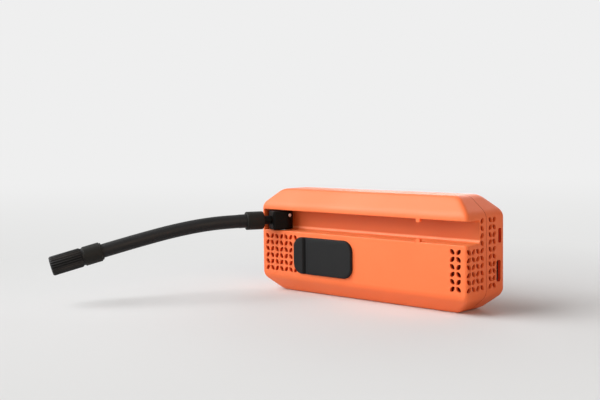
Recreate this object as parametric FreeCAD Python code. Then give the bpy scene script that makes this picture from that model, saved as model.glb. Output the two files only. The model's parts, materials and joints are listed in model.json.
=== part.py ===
import FreeCAD, Part
import math
import os

# Portable tire inflator. Millimetres. +X runs along the casing towards the charging sockets, +Z is up,
# and the grooved face looks along -Y. The origin is the middle of the bottom face.

Vector = FreeCAD.Vector
AXIS_X = Vector(1, 0, 0)
AXIS_Y = Vector(0, 1, 0)
AXIS_Z = Vector(0, 0, 1)
ORIGIN = Vector(0, 0, 0)

# Casing
body_length = 170.0
body_depth = 39.6
body_height = 70.0
wall = 2.0
end_chamfer_run = 12.0
side_chamfer_run = 8.8
top_chamfer_rise = 10.6
bottom_chamfer_rise = 10.1
end_corner_radius = 7.5
end_top_radius = 10.0
side_corner_radius = 6.5
side_top_radius = 4.0
hip_radius = 2.2
flat_trim = 0.06
seam_gap = 0.3
lip_reach = 1.5
lip_thickness = 0.95
lip_clearance = 0.1

left_end = -body_length / 2
right_end = body_length / 2
front_face = -body_depth / 2
rear_face = body_depth / 2
inner_front = front_face + wall
inner_rear = rear_face - wall
inner_right = right_end - wall

# Hose groove in the front face
groove_middle = 48.9
groove_clearance = 0.65
groove_depth = 13.2
groove_corner = 2.0
groove_end_wall = 2.4
groove_lip_radius = 0.6
groove_lip_spare = 0.05
nub_from_right = 35.6
nub_width = 2.8
nub_reach = 2.0
nub_depth = 2.2

# Vents: leaf-shaped holes that lean by turns, so that four make a flower
vent_pitch = 4.4
leaf_length = 4.3
leaf_width = 2.7
leaf_tilt = 45.0
cut_spare = 1.0
vent_top = 37.84
vent_rows = 6
left_vent_columns = 7
left_vent_inset = 5.45
right_vent_columns = 2
right_vent_inset = 6.15
end_vent_inset = 2.2
end_vent_columns = 4
tall_column_extra = 4
rear_vent_offset = 4.2

# Case screws
case_boss_radius = 3.2
case_screw_radius = 1.2
case_head_radius = 2.3
case_head_height = 1.8
case_slot_width = 0.6
case_head_seat = 8.0
case_screw_reach = 9.0
low_boss_inset = 5.1
low_boss_height = 10.8
middle_boss_height = 5.5
top_boss_drop = 5.0
top_boss_spread = 60.0
hole_clearance = 0.15

# Swivel and its hollow pivot
pivot_from_left = 14.7
pivot_from_front = 6.5
swing_at_rest = 117.5
block_half_width = 6.25
block_front = 9.2
block_height = 12.8
block_corner = 1.6
block_edge = 1.0
neck_radius = 2.95
neck_end = 15.0
tail_reach = 14.0
gallery_radius = 1.0
pivot_radius = 2.5
pivot_bore = 1.3
running_gap = 0.05
press_gap = 0.02
pivot_flange_radius = 3.6
pivot_flange_height = 1.2
pivot_flange_gap = 0.2
pivot_nut_height = 2.5
pivot_nut_radius = 4.6
ring_offset = 3.6
ring_thickness = 1.6
lock_screw_radius = 1.2
lock_screw_head = 0.2
lock_screw_angle = 115.0
lock_screw_height = 3.2

# Hose, from the swivel to the chuck: distance from the pivot and drop below it
hose_radius = 4.55
hose_bore = 2.1
sleeve_gap = 0.05
hose_route = [
    (16.5, 0.0),
    (37.0, 0.0),
    (57.5, 2.0),
    (78.0, 5.3),
    (98.0, 9.3),
    (117.0, 13.8),
    (134.0, 18.1),
]
arc_share = 0.45
near_ferrule_wall = 1.6
near_ferrule_end = 27.0
near_ferrule_chamfer = 0.6
near_lip_wall = 0.5
near_lip_end = 32.5
lip_flare = 0.2
far_ferrule_wall = 1.7
far_ferrule_back = 10.0
far_lip_wall = 0.95
far_lip_length = 0.8
far_ferrule_front = 2.3
far_ferrule_chamfer = 0.5

# Screw-on chuck, measured from the hose's end
stem_collar_inset = 0.65
stem_collar_end = 3.3
stem_neck_radius = 3.0
stem_head_radius = 4.6
stem_head_start = 5.5
stem_head_end = 8.0
stem_bore = 1.0
nut_radius = 6.35
nut_start = 3.35
nut_end = 23.7
nut_rib_count = 24
nut_rib_depth = 0.55
nut_chamfer = 0.7
nut_back_wall = 1.85
valve_thread_radius = 3.9
gasket_thickness = 2.0
gasket_bore = 1.4
depressor_radius = 0.75

# Rubber cover on the front face
cover_from_left = 31.7
cover_length = 50.7
cover_bottom = 14.2
cover_height = 24.5
cover_thickness = 2.0
cover_corner = 7.0
cover_edge = 0.7
crease_from_left = 9.95
crease_half_width = 2.1
web_thickness = 0.5
socket_opening_length = 34.0
socket_opening_height = 17.0
socket_opening_corner = 2.0
socket_from_crease = 20.35
plug_depth = 1.2
plug_gap = 0.3
plug_root = 0.5
socket_recess = 1.6
socket_depth = 6.6
socket_flange = 2.0
socket_flange_thickness = 1.5
contact_spread = 7.5
contact_radius = 3.0
contact_wall = 0.6
contact_length = 5.2
contact_set_back = 0.6
socket_side_gap = 0.2

# Charging sockets in the right end
usb_a_depth = 13.3
usb_a_height = 24.0
usb_a_slot = (4.6, 13.0)
usb_a_outer = (5.7, 13.5)
usb_a_mouth = (5.0, 12.6)
usb_a_length = 11.0
usb_c_depth = 14.6
usb_c_height = 45.35
usb_c_slot = (3.3, 8.9)
usb_c_outer = (3.2, 8.9)
usb_c_mouth = (2.6, 8.3)
usb_c_length = 7.4
usb_wall = 0.3
tongue_share = 0.3
socket_gap = 0.1

# Battery pack
cell_radius = 9.2
cell_length = 65.0
cell_from_end_wall = 8.1
cell_places_from_walls = [(12.0, 12.5), (9.8, 31.2), (11.0, 50.0)]
holder_thickness = 1.2
holder_from_groove = 1.4
holder_from_floor = 10.0
holder_height = 46.0
holder_gap = 0.5

# Pump: crank centre, gears and cylinder
crank_from_right = 51.4
pump_height = 21.5
gear_module = 0.8
gear_teeth = 40
pinion_teeth = 11
pressure_angle = 25.0
tooth_backlash = 0.08
addendum = 0.9
dedendum = 1.25
gear_plane = -11.5
gear_width = 3.5
plate_front = -7.5
plate_thickness = 2.0
crank_gap = 0.5
crank_disc_radius = 7.0
crank_disc_thickness = 2.0
crank_radius = 5.0
crank_pin_radius = 1.5
crank_pin_length = 1.2
crank_shaft_radius = 2.0
bush_thickness = 2.0
rod_length = 27.0
rod_thickness = 3.0
rod_eye_radius = 2.8
rod_width = 3.6
piston_clearance = 0.1
piston_length = 8.0
piston_crown = 2.0
piston_skirt = 1.8
wrist_from_crown = 5.0
wrist_pin_radius = 1.5
wrist_pin_length = 14.0
seal_start = 0.5
seal_width = 1.2
seal_depth = 0.7
bore_radius = 9.5
cylinder_wall = 1.8
cylinder_length = 19.5
crown_gap = 0.6
head_thickness = 4.0
bracket_thickness = 2.5
barrel_gap = 0.3
ear_from_crank = 21.1
ear_heights = (8.5, 35.0)
right_leg_from_crank = 35.4
right_leg_heights = (11.5, 33.0)
leg_radius = 2.8
leg_seam = -12.0
pump_screw_radius = 1.2
pump_head_radius = 2.1
pump_head_height = 1.5
outlet_offset = (-6.6, -5.6)
outlet_radius = 2.8
outlet_length = 6.0
chamber_radius = 1.9
chamber_length = 4.0
chamber_wall = 1.0
valve_hole_radius = 0.9
valve_ball_radius = 1.5
valve_ball_gap = 0.3
spring_wire = 0.25
spring_radius = 1.3
spring_turns = 3
nozzle_radius = 1.5
nozzle_bore = 0.8
nozzle_length = 5.0

# Motor
motor_radius = 12.2
motor_wall = 1.0
motor_length = 20.0
motor_cap = 1.2
magnet_thickness = 2.1
magnet_gap = 0.1
magnet_angle = 130.0
magnet_length = 16.0
armature_radius = 8.6
armature_length = 13.0
armature_slot = 2.0
armature_slot_depth = 4.0
shaft_radius = 1.0
shaft_clearance = 0.04

# Air tubes
tube_radius = 2.5
tube_bore = 1.55
tube_turn_from_pivot = 12.3
tube_rise_start = 20.0
nipple_bottom = 31.0
nipple_top = 36.0
sensor_tube_radius = 1.9
sensor_tube_bore = 1.15
sensor_nipple_radius = 1.1
sensor_side = 9.2
sensor_floor = 41.0
sensor_size = (4.6, 4.0, 7.0)
sensor_tube_range = (30.5, 40.0)
sensor_nipple_root = 26.0
sensor_nipple_tip = 32.0
sensor_nipple_low = 37.0

# Control board and rear panel
board_rear = 13.0
board_thickness = 1.6
board_left_from_right = 93.0
board_right_gap = 0.5
board_bottom = 36.0
board_top = 57.0
board_foot_from_right = 18.2
board_foot_bottom = 15.0
board_boss_radius = 2.4
board_screw_radius = 0.9
board_screw_head = 1.8
board_screw_head_height = 1.2
board_boss_places = [(88.5, 53.5), (40.0, 53.5), (10.0, 53.5), (40.0, 39.0)]
display_from_right = 59.5
display_height = 47.0
window_size = (36.0, 16.0)
window_thickness = 1.2
window_corner = 2.0
display_frame = 1.2
button_radius = 3.8
button_proud = 0.5
button_rounding = 0.3
button_gap = 0.2
button_flange = 0.9
button_flange_thickness = 1.2
button_stem_radius = 1.5
button_travel = 0.4
switch_size = 4.5
switch_height = 1.6
switch_plunger_height = 0.4
switch_plunger_radius = 1.1
button_places = {
    "power_button": (33.0, 51.2),
    "mode_button": (33.0, 40.8),
    "plus_button": (21.0, 51.2),
    "minus_button": (21.0, 40.8),
}

# Values that follow from the ones above
tail_radius = hose_bore - sleeve_gap
sleeve_bore = hose_radius + sleeve_gap
near_ferrule_radius = sleeve_bore + near_ferrule_wall
near_lip_radius = sleeve_bore + near_lip_wall
far_ferrule_radius = sleeve_bore + far_ferrule_wall
far_lip_radius = sleeve_bore + far_lip_wall
stem_collar_radius = far_ferrule_radius - stem_collar_inset
groove_height = 2 * (max(nut_radius, far_ferrule_radius) + groove_clearance)
groove_back = front_face + groove_depth
groove_floor = groove_middle - groove_height / 2
groove_top = groove_middle + groove_height / 2
top_bend = math.atan2(side_chamfer_run, top_chamfer_rise)
front_flat_top = body_height - top_chamfer_rise - side_corner_radius * math.tan(top_bend / 2)
groove_lip_room = front_flat_top - groove_top - groove_lip_spare
piston_radius = bore_radius - piston_clearance
pivot_x = left_end + pivot_from_left
pivot_y = front_face + pivot_from_front
pivot_z = groove_middle
crank_x = right_end - crank_from_right
motor_x = crank_x + gear_module * (gear_teeth + pinion_teeth) / 2
plate_rear = plate_front + plate_thickness
wrist_x = crank_x - crank_radius - rod_length
crown_x = wrist_x - wrist_from_crown
head_rear = crown_x - crown_gap
head_front = head_rear - head_thickness
outlet_y = outlet_offset[0]
outlet_z = pump_height + outlet_offset[1]
outlet_tip = head_front - outlet_length
cover_left = left_end + cover_from_left
crease_x = cover_left + crease_from_left
socket_x = crease_x + socket_from_crease
socket_z = cover_bottom + cover_height / 2
board_front = board_rear - board_thickness
cells_start = left_end + wall + cell_from_end_wall
cell_places = [(inner_rear - back, wall + up) for back, up in cell_places_from_walls]
holder_front = groove_back + wall + holder_from_groove
holder_bottom = wall + holder_from_floor
holder_top = holder_bottom + holder_height


def box(low, high):
    size = Vector(*high) - Vector(*low)
    return Part.makeBox(size.x, size.y, size.z, Vector(*low))


def cylinder(radius, start, axis, length):
    return Part.makeCylinder(radius, length, Vector(*start), axis)


def ring(outer, inner, start, axis, length):
    return cylinder(outer, start, axis, length).cut(cylinder(inner, start, axis, length))


def line(start, end):
    return Part.LineSegment(start, end).toShape()


def arc(start, middle, end):
    return Part.Arc(start, middle, end).toShape()


def joined(shapes):
    whole = shapes[0]
    for shape in shapes[1:]:
        whole = whole.fuse(shape)
    return whole.removeSplitter()


def group(shapes):
    return Part.makeCompound(shapes)


def save(name, shape):
    shape.exportStep("parts/" + name + ".step")


def moved_in(points, distance):
    """The corners of a convex outline, anticlockwise, with each side moved in by the distance."""
    sides = []
    for index, start in enumerate(points):
        end = points[(index + 1) % len(points)]
        along = Vector(end[0] - start[0], end[1] - start[1], 0).normalize()
        inward = Vector(-along.y, along.x, 0)
        sides.append((Vector(start[0], start[1], 0) + inward * distance, along))
    corners = []
    for index, (point, along) in enumerate(sides):
        before, slope = sides[index - 1]
        turn = slope.x * along.y - slope.y * along.x
        gap = point - before
        reach = (gap.x * along.y - gap.y * along.x) / turn
        corner = before + slope * reach
        corners.append((corner.x, corner.y))
    return corners


def rounded_outline(points, radii, place):
    """A closed wire through the corners, each rounded to its radius; place maps flat points to space."""
    starts = []
    ends = []
    middles = []
    for index, corner in enumerate(points):
        before = points[index - 1]
        after = points[(index + 1) % len(points)]
        middle = Vector(corner[0], corner[1], 0)
        back = (Vector(before[0], before[1], 0) - middle).normalize()
        on = (Vector(after[0], after[1], 0) - middle).normalize()
        half = back.getAngle(on) / 2
        bisector = (back + on).normalize()
        centre = middle + bisector * (radii[index] / math.sin(half))
        starts.append(middle + back * (radii[index] / math.tan(half)))
        ends.append(middle + on * (radii[index] / math.tan(half)))
        middles.append(centre - bisector * radii[index])
    edges = []
    for index, radius in enumerate(radii):
        if radius > 0:
            edges.append(arc(place(starts[index]), place(middles[index]), place(ends[index])))
        following = (index + 1) % len(points)
        edges.append(line(place(ends[index]), place(starts[following])))
    return Part.Wire(edges)


def rectangle(low_a, high_a, low_b, high_b):
    return [(low_a, low_b), (high_a, low_b), (high_a, high_b), (low_a, high_b)]


def panel(low_x, high_x, low_z, high_z, corner, start_y, thickness):
    """A plate with rounded corners, parallel to the front face."""
    outline = rounded_outline(
        rectangle(low_x, high_x, low_z, high_z),
        [corner] * 4,
        lambda point: Vector(point.x, start_y, point.y),
    )
    return Part.Face(outline).extrude(AXIS_Y * thickness)


def chamfered_corners(half, run, spare):
    """The casing's corners seen from one side, with its slopes run on past its flats by the spare height."""
    bottom = half - run * (bottom_chamfer_rise + spare) / bottom_chamfer_rise
    top = half - run * (top_chamfer_rise + spare) / top_chamfer_rise
    low = bottom_chamfer_rise
    high = body_height - top_chamfer_rise
    return [
        (-bottom, -spare),
        (bottom, -spare),
        (half, low),
        (half, high),
        (top, body_height + spare),
        (-top, body_height + spare),
        (-half, high),
        (-half, low),
    ]


def casing_form(inset, spare=0.0):
    """The casing's outer form, drawn in by the inset: a long and a short profile, extruded and crossed."""
    reach = body_length
    flat = end_top_radius - inset
    upright = end_corner_radius - inset
    long_outline = rounded_outline(
        moved_in(chamfered_corners(body_length / 2, end_chamfer_run, spare), inset),
        [flat, flat, upright, upright, flat, flat, upright, upright],
        lambda point: Vector(point.x, -reach, point.y),
    )
    flat = side_top_radius - inset
    upright = side_corner_radius - inset
    short_outline = rounded_outline(
        moved_in(chamfered_corners(body_depth / 2, side_chamfer_run, spare), inset),
        [flat, flat, upright, upright, flat, flat, upright, upright],
        lambda point: Vector(-reach, point.x, point.y),
    )
    long_form = Part.Face(long_outline).extrude(AXIS_Y * 2 * reach)
    short_form = Part.Face(short_outline).extrude(AXIS_X * 2 * reach)
    return long_form.common(short_form)


def sharp_edges(solid, least_angle=5.0):
    """The edges where the two faces beside them meet at an angle."""
    found = []
    for edge in solid.Edges:
        faces = solid.ancestorsOfType(edge, Part.Face)
        middle = edge.valueAt((edge.FirstParameter + edge.LastParameter) / 2)
        normals = [face.normalAt(*face.Surface.parameter(middle)) for face in faces]
        if len(normals) == 2 and math.degrees(normals[0].getAngle(normals[1])) > least_angle:
            found.append(edge)
    return found


def casing_outside():
    """The form with its upright and sloping corners rounded. Its roundings fade out in a little spare
    height, which is then trimmed off, so that they end cleanly at the two flats."""
    form = casing_form(0, flat_trim)
    form = form.makeFillet(hip_radius, sharp_edges(form))
    return form.common(
        box((-body_length, -body_length, 0), (body_length, body_length, body_height))
    ).Solids[0]


def slab(low_y, high_y):
    reach = body_length
    return box((-reach, low_y, -reach), (reach, high_y, reach))


def leaf(angle, place, depth):
    """A leaf-shaped hole, upright before it leans by the angle, pushed along the depth vector."""
    lean = math.radians(angle)

    def turned(across, up):
        flat = Vector(
            across * math.cos(lean) - up * math.sin(lean),
            across * math.sin(lean) + up * math.cos(lean),
            0,
        )
        return place(flat)

    tips = [turned(0, -leaf_length / 2), turned(0, leaf_length / 2)]
    sides = [turned(leaf_width / 2, 0), turned(-leaf_width / 2, 0)]
    right = arc(tips[0], sides[0], tips[1])
    left = arc(tips[1], sides[1], tips[0])
    return Part.Face(Part.Wire([right, left])).extrude(depth)


def lean_of(column, row):
    return leaf_tilt if (column + row) % 2 == 0 else -leaf_tilt


def front_vents(first_x, columns):
    cuts = []
    for column in range(columns):
        for row in range(vent_rows):
            x = first_x + column * vent_pitch
            z = vent_top - row * vent_pitch
            cuts.append(
                leaf(
                    lean_of(column, row),
                    lambda point: Vector(x + point.x, front_face - 1, z + point.y),
                    AXIS_Y * (wall + 1.5),
                )
            )
    return cuts


def end_vent(y, column, row):
    z = vent_top - row * vent_pitch
    return leaf(
        lean_of(column, row),
        lambda point: Vector(inner_right - 0.5, y + point.x, z + point.y),
        AXIS_X * (wall + 1.5),
    )


def front_end_vents():
    cuts = []
    for column in range(end_vent_columns):
        first_row = -tall_column_extra if column == end_vent_columns - 1 else 0
        for row in range(first_row, vent_rows):
            cuts.append(end_vent(front_face + end_vent_inset + column * vent_pitch, column, row))
    return cuts


def rear_end_vents():
    cuts = []
    for step in range(2):
        for row in range(-tall_column_extra, vent_rows):
            cuts.append(end_vent(rear_vent_offset * (step + 1), end_vent_columns + step, row))
    return cuts


def case_screw_places():
    low_x = body_length / 2 - low_boss_inset
    high_z = body_height - top_boss_drop
    return [
        (-low_x, low_boss_height),
        (0, middle_boss_height),
        (low_x, low_boss_height),
        (-top_boss_spread, high_z),
        (0, high_z),
        (top_boss_spread, high_z),
    ]


def pump_leg_places():
    left = [(crank_x - ear_from_crank, height) for height in ear_heights]
    right = [(crank_x + right_leg_from_crank, height) for height in right_leg_heights]
    return left + right


def groove_cut():
    """The groove, open to the front and to the right end, with its two back corners rounded."""
    start_x = left_end + groove_end_wall
    outline = rounded_outline(
        rectangle(front_face - 1, groove_back, groove_floor, groove_top),
        [0, groove_corner, groove_corner, 0],
        lambda point: Vector(start_x, point.x, point.y),
    )
    return Part.Face(outline).extrude(AXIS_X * (right_end + 1 - start_x))


def groove_lips(shell):
    """The long front edges of the groove's floor and roof."""
    return [
        edge
        for edge in shell.Edges
        if edge.Length > body_length / 2
        and abs(edge.BoundBox.YMax - front_face) < running_gap
        and min(abs(edge.BoundBox.ZMax - height) for height in (groove_floor, groove_top)) < running_gap
    ]


def nubs():
    """The two small ribs on the groove's lips that keep the hose in."""
    middle = right_end - nub_from_right
    shapes = []
    for edge_z, inward in ((groove_floor, 1), (groove_top, -1)):
        low = min(edge_z - inward, edge_z + inward * nub_reach)
        high = max(edge_z - inward, edge_z + inward * nub_reach)
        shapes.append(
            panel(
                middle - nub_width / 2,
                middle + nub_width / 2,
                low,
                high,
                nub_width / 3,
                front_face,
                nub_depth,
            )
        )
    return shapes


def shell_half(outer, low_y, high_y):
    hollow = outer.cut(casing_form(wall))
    return hollow.common(slab(low_y, high_y))


def front_shell(outer):
    """Front half of the casing, with the groove's channel, the vents and the bosses."""
    shell = shell_half(outer, -body_depth, -seam_gap / 2)
    channel = box(
        (left_end, front_face, groove_floor - wall),
        (right_end, groove_back + wall, groove_top + wall),
    )
    bosses = [
        cylinder(case_boss_radius, (x, front_face, z), AXIS_Y, -seam_gap / 2 - front_face)
        for x, z in case_screw_places()
    ]
    bosses += [
        cylinder(leg_radius, (x, front_face, z), AXIS_Y, leg_seam - front_face)
        for x, z in pump_leg_places()
    ]
    for added in [channel] + bosses:
        shell = shell.fuse(added.common(outer))
    shell = shell.cut(groove_cut())
    shell = shell.makeFillet(min(groove_lip_radius, groove_lip_room), groove_lips(shell))
    rebate = casing_form(wall - lip_thickness - lip_clearance)
    cuts = [rebate.common(slab(-lip_reach - lip_clearance, 0)).cut(joined(bosses))]
    cuts += front_vents(left_end + left_vent_inset, left_vent_columns)
    right_first = right_end - right_vent_inset - (right_vent_columns - 1) * vent_pitch
    cuts += front_vents(right_first, right_vent_columns)
    cuts += front_end_vents()
    cuts += [
        cylinder(case_screw_radius + running_gap, (x, -case_screw_reach - 1, z), AXIS_Y, body_depth)
        for x, z in case_screw_places()
    ]
    cuts += [
        cylinder(pump_screw_radius + running_gap, (x, inner_front + 1, z), AXIS_Y, body_depth / 2)
        for x, z in pump_leg_places()
    ]
    cuts.append(
        cylinder(
            pivot_radius + running_gap,
            (pivot_x, pivot_y, groove_floor - wall - 1),
            AXIS_Z,
            groove_height + 2 * wall + 2,
        )
    )
    cuts.append(
        cylinder(
            pivot_flange_radius + pivot_flange_gap,
            (pivot_x, pivot_y, groove_top + wall),
            AXIS_Z,
            pivot_flange_height + pivot_flange_gap,
        )
    )
    cuts.append(
        panel(
            socket_x - socket_opening_length / 2,
            socket_x + socket_opening_length / 2,
            socket_z - socket_opening_height / 2,
            socket_z + socket_opening_height / 2,
            socket_opening_corner,
            front_face - cut_spare,
            wall + 2 * cut_spare,
        )
    )
    return joined([shell.cut(cuts)] + nubs())


def end_slot(size, y, z):
    """A slot with rounded corners through the right end wall."""
    outline = rounded_outline(
        rectangle(y - size[0] / 2, y + size[0] / 2, z - size[1] / 2, z + size[1] / 2),
        [size[0] * tongue_share] * 4,
        lambda point: Vector(inner_right - 1, point.x, point.y),
    )
    return Part.Face(outline).extrude(AXIS_X * (wall + 2))


def rear_shell(outer):
    """Rear half of the casing, with the lip that enters the front half, the bosses and the panel holes."""
    shell = shell_half(outer, seam_gap / 2, body_depth)
    lip = casing_form(wall - lip_thickness).cut(casing_form(wall))
    lip = lip.common(slab(-lip_reach, seam_gap / 2))
    for x, z in case_screw_places():
        keep_out = cylinder(case_boss_radius + lip_clearance, (x, -body_depth, z), AXIS_Y, body_depth)
        lip = lip.cut(keep_out)
    bosses = [
        cylinder(case_boss_radius, (x, seam_gap / 2, z), AXIS_Y, rear_face) for x, z in case_screw_places()
    ]
    bosses += [
        cylinder(board_boss_radius, (right_end - inset, board_rear, z), AXIS_Y, rear_face - board_rear)
        for inset, z in board_boss_places
    ]
    shell = shell.fuse(lip)
    for boss in bosses:
        shell = shell.fuse(boss.common(outer))
    cuts = rear_end_vents()
    for x, z in case_screw_places():
        cuts.append(cylinder(case_screw_radius + hole_clearance, (x, 0, z), AXIS_Y, body_depth))
        cuts.append(cylinder(case_head_radius + hole_clearance, (x, case_head_seat, z), AXIS_Y, body_depth))
    for inset, z in board_boss_places:
        start = (right_end - inset, board_rear, z)
        cuts.append(cylinder(board_screw_radius + running_gap, start, AXIS_Y, wall + 1))
    for inset, z in button_places.values():
        hole = cylinder(button_radius + button_gap, (right_end - inset, 0, z), AXIS_Y, body_depth)
        cuts.append(hole)
    window_x = right_end - display_from_right
    cuts.append(window_panel(window_x, 0, rear_face - window_thickness - socket_gap, body_depth / 2))
    cuts.append(window_panel(window_x, -display_frame, 0, body_depth))
    cuts.append(end_slot(usb_a_slot, usb_a_depth, usb_a_height))
    cuts.append(end_slot(usb_c_slot, usb_c_depth, usb_c_height))
    return shell.cut(cuts).removeSplitter()


def window_panel(x, grow, start_y, thickness):
    """A plate of the display window's outline, grown or drawn in on all sides."""
    return panel(
        x - window_size[0] / 2 - grow,
        x + window_size[0] / 2 + grow,
        display_height - window_size[1] / 2 - grow,
        display_height + window_size[1] / 2 + grow,
        window_corner + grow,
        start_y,
        thickness,
    )


def case_screws():
    screws = []
    for x, z in case_screw_places():
        head = cylinder(case_head_radius, (x, case_head_seat, z), AXIS_Y, case_head_height)
        slot = box(
            (x - case_head_radius, case_head_seat + case_head_height / 2, z - case_slot_width / 2),
            (x + case_head_radius, case_head_seat + case_head_height, z + case_slot_width / 2),
        )
        cross = box(
            (x - case_slot_width / 2, case_head_seat + case_head_height / 2, z - case_head_radius),
            (x + case_slot_width / 2, case_head_seat + case_head_height, z + case_head_radius),
        )
        start = (x, -case_screw_reach, z)
        shank = cylinder(case_screw_radius, start, AXIS_Y, case_screw_reach + case_head_seat)
        screws.append(joined([head.cut([slot, cross]), shank]))
    return group(screws)


# Swivel and hose. These pieces are built along +X from the pivot, with height measured from the middle
# of the groove, and are then turned to where the hose points at rest.


def on_swivel(shape):
    placed = shape.copy()
    placed.rotate(ORIGIN, AXIS_Z, -swing_at_rest)
    placed.translate(Vector(pivot_x, pivot_y, pivot_z))
    return placed


def chuck_slope():
    """The angle, in degrees, that the hose's last run and the chuck point down by."""
    (before, high), (end, low) = hose_route[-2:]
    return math.degrees(math.atan2(low - high, end - before))


def on_chuck(shape):
    """Places a piece built along +X from the hose's far end."""
    placed = shape.copy()
    placed.rotate(ORIGIN, AXIS_Y, chuck_slope())
    end, drop = hose_route[-1]
    placed.translate(Vector(end, 0, -drop))
    return on_swivel(placed)


def swivel_block():
    half = block_height / 2
    outline = rounded_outline(
        rectangle(0, block_front, -block_half_width, block_half_width),
        [0, block_corner, block_corner, 0],
        lambda point: Vector(point.x, point.y, -half),
    )
    front = Part.Face(outline).extrude(AXIS_Z * block_height)
    hub = cylinder(block_half_width, (0, 0, -half), AXIS_Z, block_height)
    block = joined([front, hub])
    rims = [edge for edge in block.Edges if abs(abs(edge.BoundBox.Center.z) - half) < 0.01]
    block = block.makeFillet(block_edge, rims)
    neck = cylinder(neck_radius, (block_front - 1, 0, 0), AXIS_X, neck_end - block_front + 1)
    tail = cylinder(tail_radius, (neck_end, 0, 0), AXIS_X, tail_reach)
    block = joined([block, neck, tail])
    cuts = [
        cylinder(pivot_radius + running_gap, (0, 0, -block_height), AXIS_Z, 2 * block_height),
        cylinder(gallery_radius, (0, 0, 0), AXIS_X, neck_end + tail_reach + 1),
    ]
    seat = ring_thickness + 2 * running_gap
    for side in (-1, 1):
        start = (0, 0, side * ring_offset - seat / 2)
        cuts.append(cylinder(pivot_radius + ring_thickness + running_gap, start, AXIS_Z, seat))
    angle = math.radians(lock_screw_angle)
    outward = Vector(math.cos(angle), math.sin(angle), 0)
    cuts.append(
        cylinder(
            lock_screw_radius + press_gap,
            Vector(0, 0, lock_screw_height),
            outward,
            2 * block_half_width,
        )
    )
    return on_swivel(block.cut(cuts))


def pivot_screw():
    """Small screw in the hub's side that keeps the block on its pivot."""
    angle = math.radians(lock_screw_angle)
    outward = Vector(math.cos(angle), math.sin(angle), 0)
    start = outward * (pivot_radius + ring_thickness) + AXIS_Z * lock_screw_height
    length = block_half_width + lock_screw_head - pivot_radius - ring_thickness
    return on_swivel(Part.makeCylinder(lock_screw_radius, length, start, outward))


def pivot_rings():
    rings = []
    for side in (-1, 1):
        middle = pivot_radius + running_gap / 2 + ring_thickness / 2
        torus = Part.makeTorus(middle, ring_thickness / 2, Vector(0, 0, side * ring_offset), AXIS_Z)
        rings.append(on_swivel(torus))
    return group(rings)


def pivot_tube():
    """Hollow pin through the groove's floor and roof, with a nipple for the air tube below."""
    top = groove_top + wall
    here = Vector(pivot_x, pivot_y, 0)
    shaft = cylinder(pivot_radius, here + AXIS_Z * nipple_top, AXIS_Z, top - nipple_top)
    flange = cylinder(pivot_flange_radius, here + AXIS_Z * top, AXIS_Z, pivot_flange_height)
    nipple = cylinder(nozzle_radius, here + AXIS_Z * nipple_bottom, AXIS_Z, nipple_top - nipple_bottom)
    tube = joined([shaft, flange, nipple])
    bore = cylinder(nozzle_bore, here + AXIS_Z * nipple_bottom, AXIS_Z, pivot_z + 1 - nipple_bottom)
    middle = Vector(pivot_x, pivot_y, pivot_z)
    ports = [
        cylinder(gallery_radius, middle - axis * 2 * pivot_radius, axis, 4 * pivot_radius)
        for axis in (AXIS_X, AXIS_Y)
    ]
    return tube.cut([bore] + ports)


def pivot_nut():
    top = groove_floor - wall
    corners = [
        Vector(
            pivot_x + pivot_nut_radius * math.cos(math.radians(60 * side)),
            pivot_y + pivot_nut_radius * math.sin(math.radians(60 * side)),
            top - pivot_nut_height,
        )
        for side in range(7)
    ]
    hexagon = Part.Face(Part.makePolygon(corners)).extrude(AXIS_Z * pivot_nut_height)
    bore = cylinder(
        pivot_radius + running_gap,
        (pivot_x, pivot_y, top - pivot_nut_height - cut_spare),
        AXIS_Z,
        pivot_nut_height + 2 * cut_spare,
    )
    return hexagon.cut(bore)


def near_ferrule():
    sleeve = cylinder(near_ferrule_radius, (neck_end, 0, 0), AXIS_X, near_ferrule_end - neck_end)
    rims = [edge for edge in sleeve.Edges if edge.Curve.TypeId == "Part::GeomCircle"]
    sleeve = sleeve.makeChamfer(near_ferrule_chamfer, rims)
    skirt = Part.makeCone(
        near_lip_radius,
        hose_radius + 2 * lip_flare,
        near_lip_end - near_ferrule_end,
        Vector(near_ferrule_end, 0, 0),
        AXIS_X,
    )
    body = joined([sleeve, skirt])
    start = hose_route[0][0]
    cuts = [
        cylinder(sleeve_bore, (start, 0, 0), AXIS_X, near_ferrule_end - start),
        cylinder(hose_radius + lip_flare, (near_ferrule_end, 0, 0), AXIS_X, near_lip_end),
        cylinder(tail_radius + sleeve_gap, (0, 0, 0), AXIS_X, near_lip_end),
    ]
    return on_swivel(body.cut(cuts))


def route_wire(points):
    """Straight runs joined by arcs; each arc is as large as its shorter run allows. Prints the radii."""
    edges = []
    radii = []
    reached = points[0]
    for before, corner, after in zip(points, points[1:], points[2:]):
        back = (before - corner).normalize()
        on = (after - corner).normalize()
        half_turn = (math.pi - back.getAngle(on)) / 2
        shorter = min((before - corner).Length, (after - corner).Length)
        radius = arc_share * shorter / math.tan(half_turn)
        start = corner + back * (arc_share * shorter)
        end = corner + on * (arc_share * shorter)
        inward = (back + on).normalize()
        middle = corner + inward * (radius / math.cos(half_turn) - radius)
        edges.append(line(reached, start))
        edges.append(arc(start, middle, end))
        reached = end
        radii.append(round(radius, 1))
    edges.append(line(reached, points[-1]))
    wire = Part.Wire(edges)
    print("arc radii", radii, "length", round(wire.Length, 2))
    return wire


def tube_along(points, outer, inner):
    """A hollow tube along the points, its volume compared with its section times its length."""
    wire = route_wire(points)
    direction = (points[1] - points[0]).normalize()
    solids = []
    for radius in (outer, inner):
        section = Part.Wire(Part.makeCircle(radius, points[0], direction))
        solids.append(wire.makePipeShell([section], True, False))
    tube = solids[0].cut(solids[1])
    expected = math.pi * (outer**2 - inner**2) * wire.Length
    print("tube volume", round(tube.Volume, 1), "expected", round(expected, 1))
    return tube


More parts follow.
